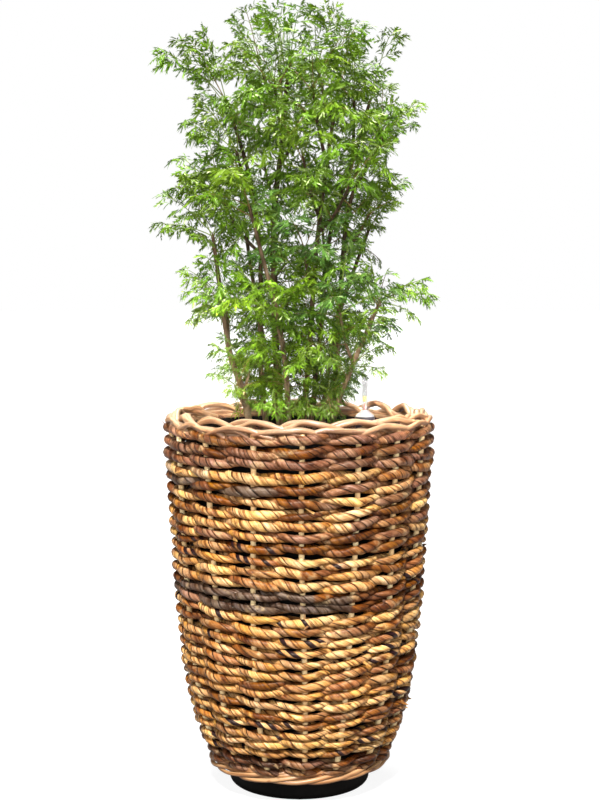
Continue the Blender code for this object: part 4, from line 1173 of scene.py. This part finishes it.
def frond_template(chance):
    """A frond's arrays and each point's leaflet number: stalked pinnae in pairs, with lobed leaflets."""
    frond = Frond(chance)
    marks = []
    stations = [(share + chance.uniform(-0.02, 0.02), hand) for share in PINNA_STATIONS for hand in (-1, 1)]
    for share, hand in [*stations, END_PINNA]:
        reach = END_REACH
        if hand:
            swell = math.sin(math.pi * (0.28 + 0.42 * (share - PINNA_STATIONS[0]) / 0.45)) ** 0.8
            reach = PINNA_REACH * swell * chance.uniform(0.74, 1.10)
        lean = math.radians(chance.uniform(36, 70)) * hand
        along = unit(np.array([math.cos(lean), math.sin(lean), chance.uniform(-0.60, 0.20)]))
        side = unit(np.cross(UP, along))
        side, face = rolled(side, np.cross(along, side), chance.uniform(-0.8, 0.8))
        start = np.array([share, 0.0, 0.0])
        frond.add_stalk([start + along * reach * part for part in (0.0, 0.3, 0.60)], side, 0.004)
        for station in SIDE_STATIONS:
            for turn in (-1, 1):
                splay = math.radians(chance.uniform(30, 56)) * turn
                way = unit(along * math.cos(splay) + side * math.sin(splay))
                origin = start + along * reach * (station + chance.uniform(-0.04, 0.04))
                size = reach * chance.uniform(0.30, 0.48)
                frond.add_leaflet(origin, way, np.cross(face, way), face, size, size * 0.21, SIDE_LOBES)
                marks.append(len(frond.points))
        size = reach * chance.uniform(0.40, 0.48)
        frond.add_leaflet(start + along * reach * 0.56, along, side, face, size, size * 0.25, END_LOBES)
        marks.append(len(frond.points))
    leaves = np.searchsorted(marks, np.arange(len(frond.points)), side="right")
    return np.array(frond.points), np.array(frond.faces), np.array(frond.ribs), leaves


def arched(root, tip, share):
    """Places and directions at shares of the arched rib from root to tip, and its length straight across."""
    length = np.linalg.norm(tip - root)
    middle = (root + tip) / 2 + FROND_ARCH * length * UP
    places = (1 - share) ** 2 * root + 2 * share * (1 - share) * middle + share**2 * tip
    return places, unit(2 * (1 - share) * (middle - root) + 2 * share * (tip - middle)), length


def bend_frond(template, root, tip, roll):
    """The template's points laid on the arched rib from root to tip."""
    x = template[:, :1]
    share = np.clip(x, 0.0, 1.0)
    places, along, length = arched(root, tip, share)
    level = tip - root
    level[2] = 0.0
    side = unit(np.cross(level + (0.001, 0.0, 0.0), UP))
    side = unit(side - along * (side * along).sum(1, keepdims=True))
    side, face = rolled(side, np.cross(side, along), roll)
    bent = places + length * (side * template[:, 1:2] + face * template[:, 2:3] + along * (x - share))
    droop = FROND_DROOP * template[:, 1] ** 2 + TIP_DROOP * np.maximum(template[:, 0] - 0.75, 0.0)
    bent[:, 2] -= np.linalg.norm(level) * droop
    return bent


def rib_tube(root, tip):
    """The frond's own thin stalk, on the same arch."""
    path = arched(root, tip, np.linspace(0.0, 0.72, 8)[:, None])[0]
    points, quads, _, _ = tube(path, np.linspace(0.0010, 0.0005, 8), 3)
    return points, np.concatenate([quads[:, [0, 1, 2]], quads[:, [0, 2, 3]]])


def frond_colours(chance, template, ribs, leaves, height, tint):
    """A frond's tints, each leaf a little different and the tips younger, and the colour of its stalk."""
    tone = np.array(tint) * chance.uniform(0.86, 1.14) * np.array([chance.uniform(0.84, 1.08), 1.0, 1.0])
    # Painted shade on the low leaves under the crown
    tone = tone * np.interp(height, LOW_LEAVES, (LOW_FACTOR, 1.0))
    young = np.clip(template[:, :1] - 0.55, 0, 1) * chance.uniform(0.0, 0.45)
    patch = chance.uniform(0.48, 1.36, (leaves[-1] + 1, 1))[leaves]
    colours = tone * patch * (1 + young * np.array([0.9, 0.55, 0.25]))
    stalk = STALK if chance.uniform() < 0.75 else YOUNG_STALK
    colours[ribs > 1.5] = 0.5 * (stalk + tone * 1.2)
    return colours, stalk


def make_foliage(node, sprays, material, templates, chance):
    """One piece of leaves for a stem: every frond of its sprays, in its own cell of the UV map."""
    points, faces, tints, ribs, cells = [], [], [], [], []
    total = 0
    fronds = []
    for index, spray, path in sprays:
        plan = frond_plan(index, spray, path) + filler_plan(index, spray, path)
        fronds += [(frond, spray[6]) for frond in plan]
    across = math.ceil(math.sqrt(len(fronds)))
    for order, ((root, tip, roll), tint) in enumerate(fronds):
        template, template_faces, template_ribs, leaves = templates[chance.integers(len(templates))]
        root = np.array(root)
        tip = np.array(tip)
        leaf_points = bend_frond(template, root, tip, roll)
        stalk_points, stalk_faces = rib_tube(root, tip)
        stalk_count = len(stalk_points)
        colours, stalk = frond_colours(chance, template, template_ribs, leaves, root[2], tint)
        points += [leaf_points, stalk_points]
        faces += [template_faces + total, stalk_faces + total + len(leaf_points)]
        tints += [colours, np.tile(stalk, (stalk_count, 1))]
        ribs += [np.minimum(template_ribs, 1.0) * (template_ribs < 1.5), np.zeros(stalk_count)]
        corner = np.array([order % across, order // across])
        flat = np.stack([0.05 + 0.72 * template[:, 0], 0.5 + 0.85 * template[:, 1]], -1).clip(0.02, 0.98)
        stalk_flat = np.stack([np.full(stalk_count, 0.02), np.linspace(0, 1, stalk_count)], -1)
        cells += [(corner + flat) / across, (corner + stalk_flat) / across]
        total += len(leaf_points) + stalk_count
    faces = np.concatenate(faces)
    made = mesh_from("foliage" + node[-3:], np.concatenate(points), faces, material, "leaf",
                     np.concatenate(cells)[faces], tint=np.concatenate(tints), rib=np.concatenate(ribs))
    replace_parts(made, node)


def make_wood(node, runs, material, chance):
    """A stem with its branches: bark with swollen leaf scars, tapering to the tip."""
    batch = Batch()
    for path, start_radius, end_radius, sides in runs:
        path = np.array(path)
        steps = lengths_along(path)
        fine = np.linspace(0.0, steps[-1], max(6, round(steps[-1] / 0.006)))
        path = np.stack([np.interp(fine, steps, path[:, axis]) for axis in range(3)], -1)
        for _ in range(6):
            path[1:-1] = 0.5 * path[1:-1] + 0.25 * (path[:-2] + path[2:])
        scars = np.exp(-(((fine / 0.024 + chance.uniform()) % 1.0 - 0.5) / 0.12) ** 2)
        radii = (start_radius + (end_radius - start_radius) * fine / fine[-1]) * (1 + 0.10 * scars)
        radii = radii[:, None] * (1 + 0.05 * chance.standard_normal((len(fine), sides)))
        radii[-1] *= 0.3
        points, quads, uv, along = tube(path, radii, sides)
        batch.add(points, quads, uv, along=np.repeat(along, sides))
    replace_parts(batch.build("wood" + node[-3:], material, "bark"), node)


def make_plant(leaf, bark):
    """The leaves of ten stems, and then the stems with their branches."""
    template_chance = np.random.default_rng(31)
    templates = [frond_template(template_chance) for _ in range(FROND_TEMPLATES)]
    leaf_chance = np.random.default_rng(23)
    wood_chance = np.random.default_rng(29)
    wood = []
    for number, (node, low_radius, top_radius, places) in enumerate(STEMS, 1):
        stem = stem_path(places)
        runs = [(stem, low_radius, top_radius, 14)]
        sprays = []
        for index, spray in enumerate(SPRAYS):
            if spray[0] == number:
                path = stem
                if spray[1] is not AT_TIP:
                    path = branch_path(stem, spray[1], spray[2])
                    runs.append((path, BRANCH_RADIUS, BRANCH_RADIUS * 0.7, 8))
                sprays.append((index, spray, path))
        make_foliage(node, sprays, leaf, templates, leaf_chance)
        wood.append((node, runs))
    for node, runs in wood:
        make_wood(node, runs, bark, wood_chance)


def make_floor():
    """A wide pale floor that glows white to the camera and little to the part, and a bit less round the foot
    as a painted shadow.
    """
    paint = Material("studio_floor", 0.8, 0.2)
    paint.set("Base Color", (FLOOR_SHADE, FLOOR_SHADE, FLOOR_SHADE, 1.0))
    paint.set("Emission Color", (1.0, 1.0, 1.0, 1.0))
    distance = paint.add("VectorMath", {0: paint.place}, operation="LENGTH")["Value"]
    glow = paint.span(distance, *GLOW_REACH, FOOT_GLOW, FLOOR_GLOW)
    bounce = paint.maths("MAXIMUM", paint.add("LightPath")["Is Camera Ray"], FLOOR_BOUNCE)
    paint.set("Emission Strength", paint.maths("MULTIPLY", glow, bounce))
    mesh = bpy.data.meshes.new("studio_floor")
    corners = [(x * FLOOR_HALF, y * FLOOR_HALF, 0.0) for x, y in ((-1, -1), (1, -1), (1, 1), (-1, 1))]
    mesh.from_pydata(corners, [], [(0, 1, 2, 3)])
    mesh.materials.append(paint.made)
    new_object("studio_floor", mesh)


def make_world():
    """A world that is white to the camera and dim to the part."""
    world = bpy.data.worlds.new("studio_world")
    world.use_nodes = True
    nodes = Nodes(world.node_tree)
    background = world.node_tree.nodes["Background"]
    nodes.put(background.inputs["Color"], (1.0, 1.0, 1.0, 1.0))
    seen = nodes.add("LightPath")["Is Camera Ray"]
    nodes.put(background.inputs["Strength"], nodes.span(seen, 0.0, 1.0, AMBIENT, 1.0))
    bpy.context.scene.world = world


def make_lights():
    """A wide sun from above the camera, and soft lights that each face a target."""
    data = bpy.data.lights.new("key_sun", "SUN")
    data.energy = SUN_POWER
    data.angle = math.radians(SUN_ANGLE)
    sun = new_object("key_sun", data)
    sun.rotation_euler = Vector(SUN_TOWARDS).to_track_quat("-Z", "Y").to_euler()
    for name, place, target, size, power, spread in LIGHTS:
        data = bpy.data.lights.new(name, "AREA")
        data.shape = "RECTANGLE"
        data.size = size[0]
        data.size_y = size[1]
        data.energy = power
        data.spread = math.radians(spread)
        light = new_object(name, data)
        light.location = place
        light.rotation_euler = (Vector(target) - Vector(place)).to_track_quat("-Z", "Y").to_euler()


def make_camera():
    """The photograph's camera."""
    data = bpy.data.cameras.new("camera")
    data.lens = LENS
    data.sensor_width = SENSOR
    data.sensor_fit = "AUTO"
    camera = new_object("camera", data)
    camera.location = CAMERA_PLACE
    camera.rotation_euler = (math.radians(90.0 - CAMERA_DOWN), 0.0, 0.0)
    bpy.context.scene.camera = camera
    bpy.context.scene.view_settings.view_transform = "Standard"


def main():
    make_floor()
    make_world()
    make_lights()
    make_camera()
    rope = rope_material()
    make_ropes(rope)
    make_flaps(rope)
    pale = (1.0, 0.83, 0.48)
    make_stakes(rattan_material("pale_stake", 0.30, pale, (0.92, 0.68, 0.34), pale))
    make_rim(rattan_material(
        "peeled_rattan", 0.90, (0.47, 0.285, 0.150), (0.19, 0.080, 0.027), (0.80, 0.60, 0.40)))
    make_base_border(rattan_material(
        "weathered_rattan", 0.50, (0.46, 0.265, 0.12), (0.19, 0.08, 0.028), (0.60, 0.38, 0.19)))
    make_liner(liner_material())
    make_substrate(granule_material())
    grey = moulded_material("grey_gauge_plastic", 0.4, (0.56, 0.55, 0.58))
    dark = moulded_material("dark_gauge_plastic", 0.35, (0.040, 0.032, 0.038))
    red = moulded_material("red_float_plastic", 0.35, (0.60, 0.05, 0.03))
    yellow = moulded_material("yellow_tip_plastic", 0.35, (0.95, 0.60, 0.04))
    make_gauge(grey, dark, clear_material(), red, yellow)
    make_plant(leaf_material(), bark_material())


main()
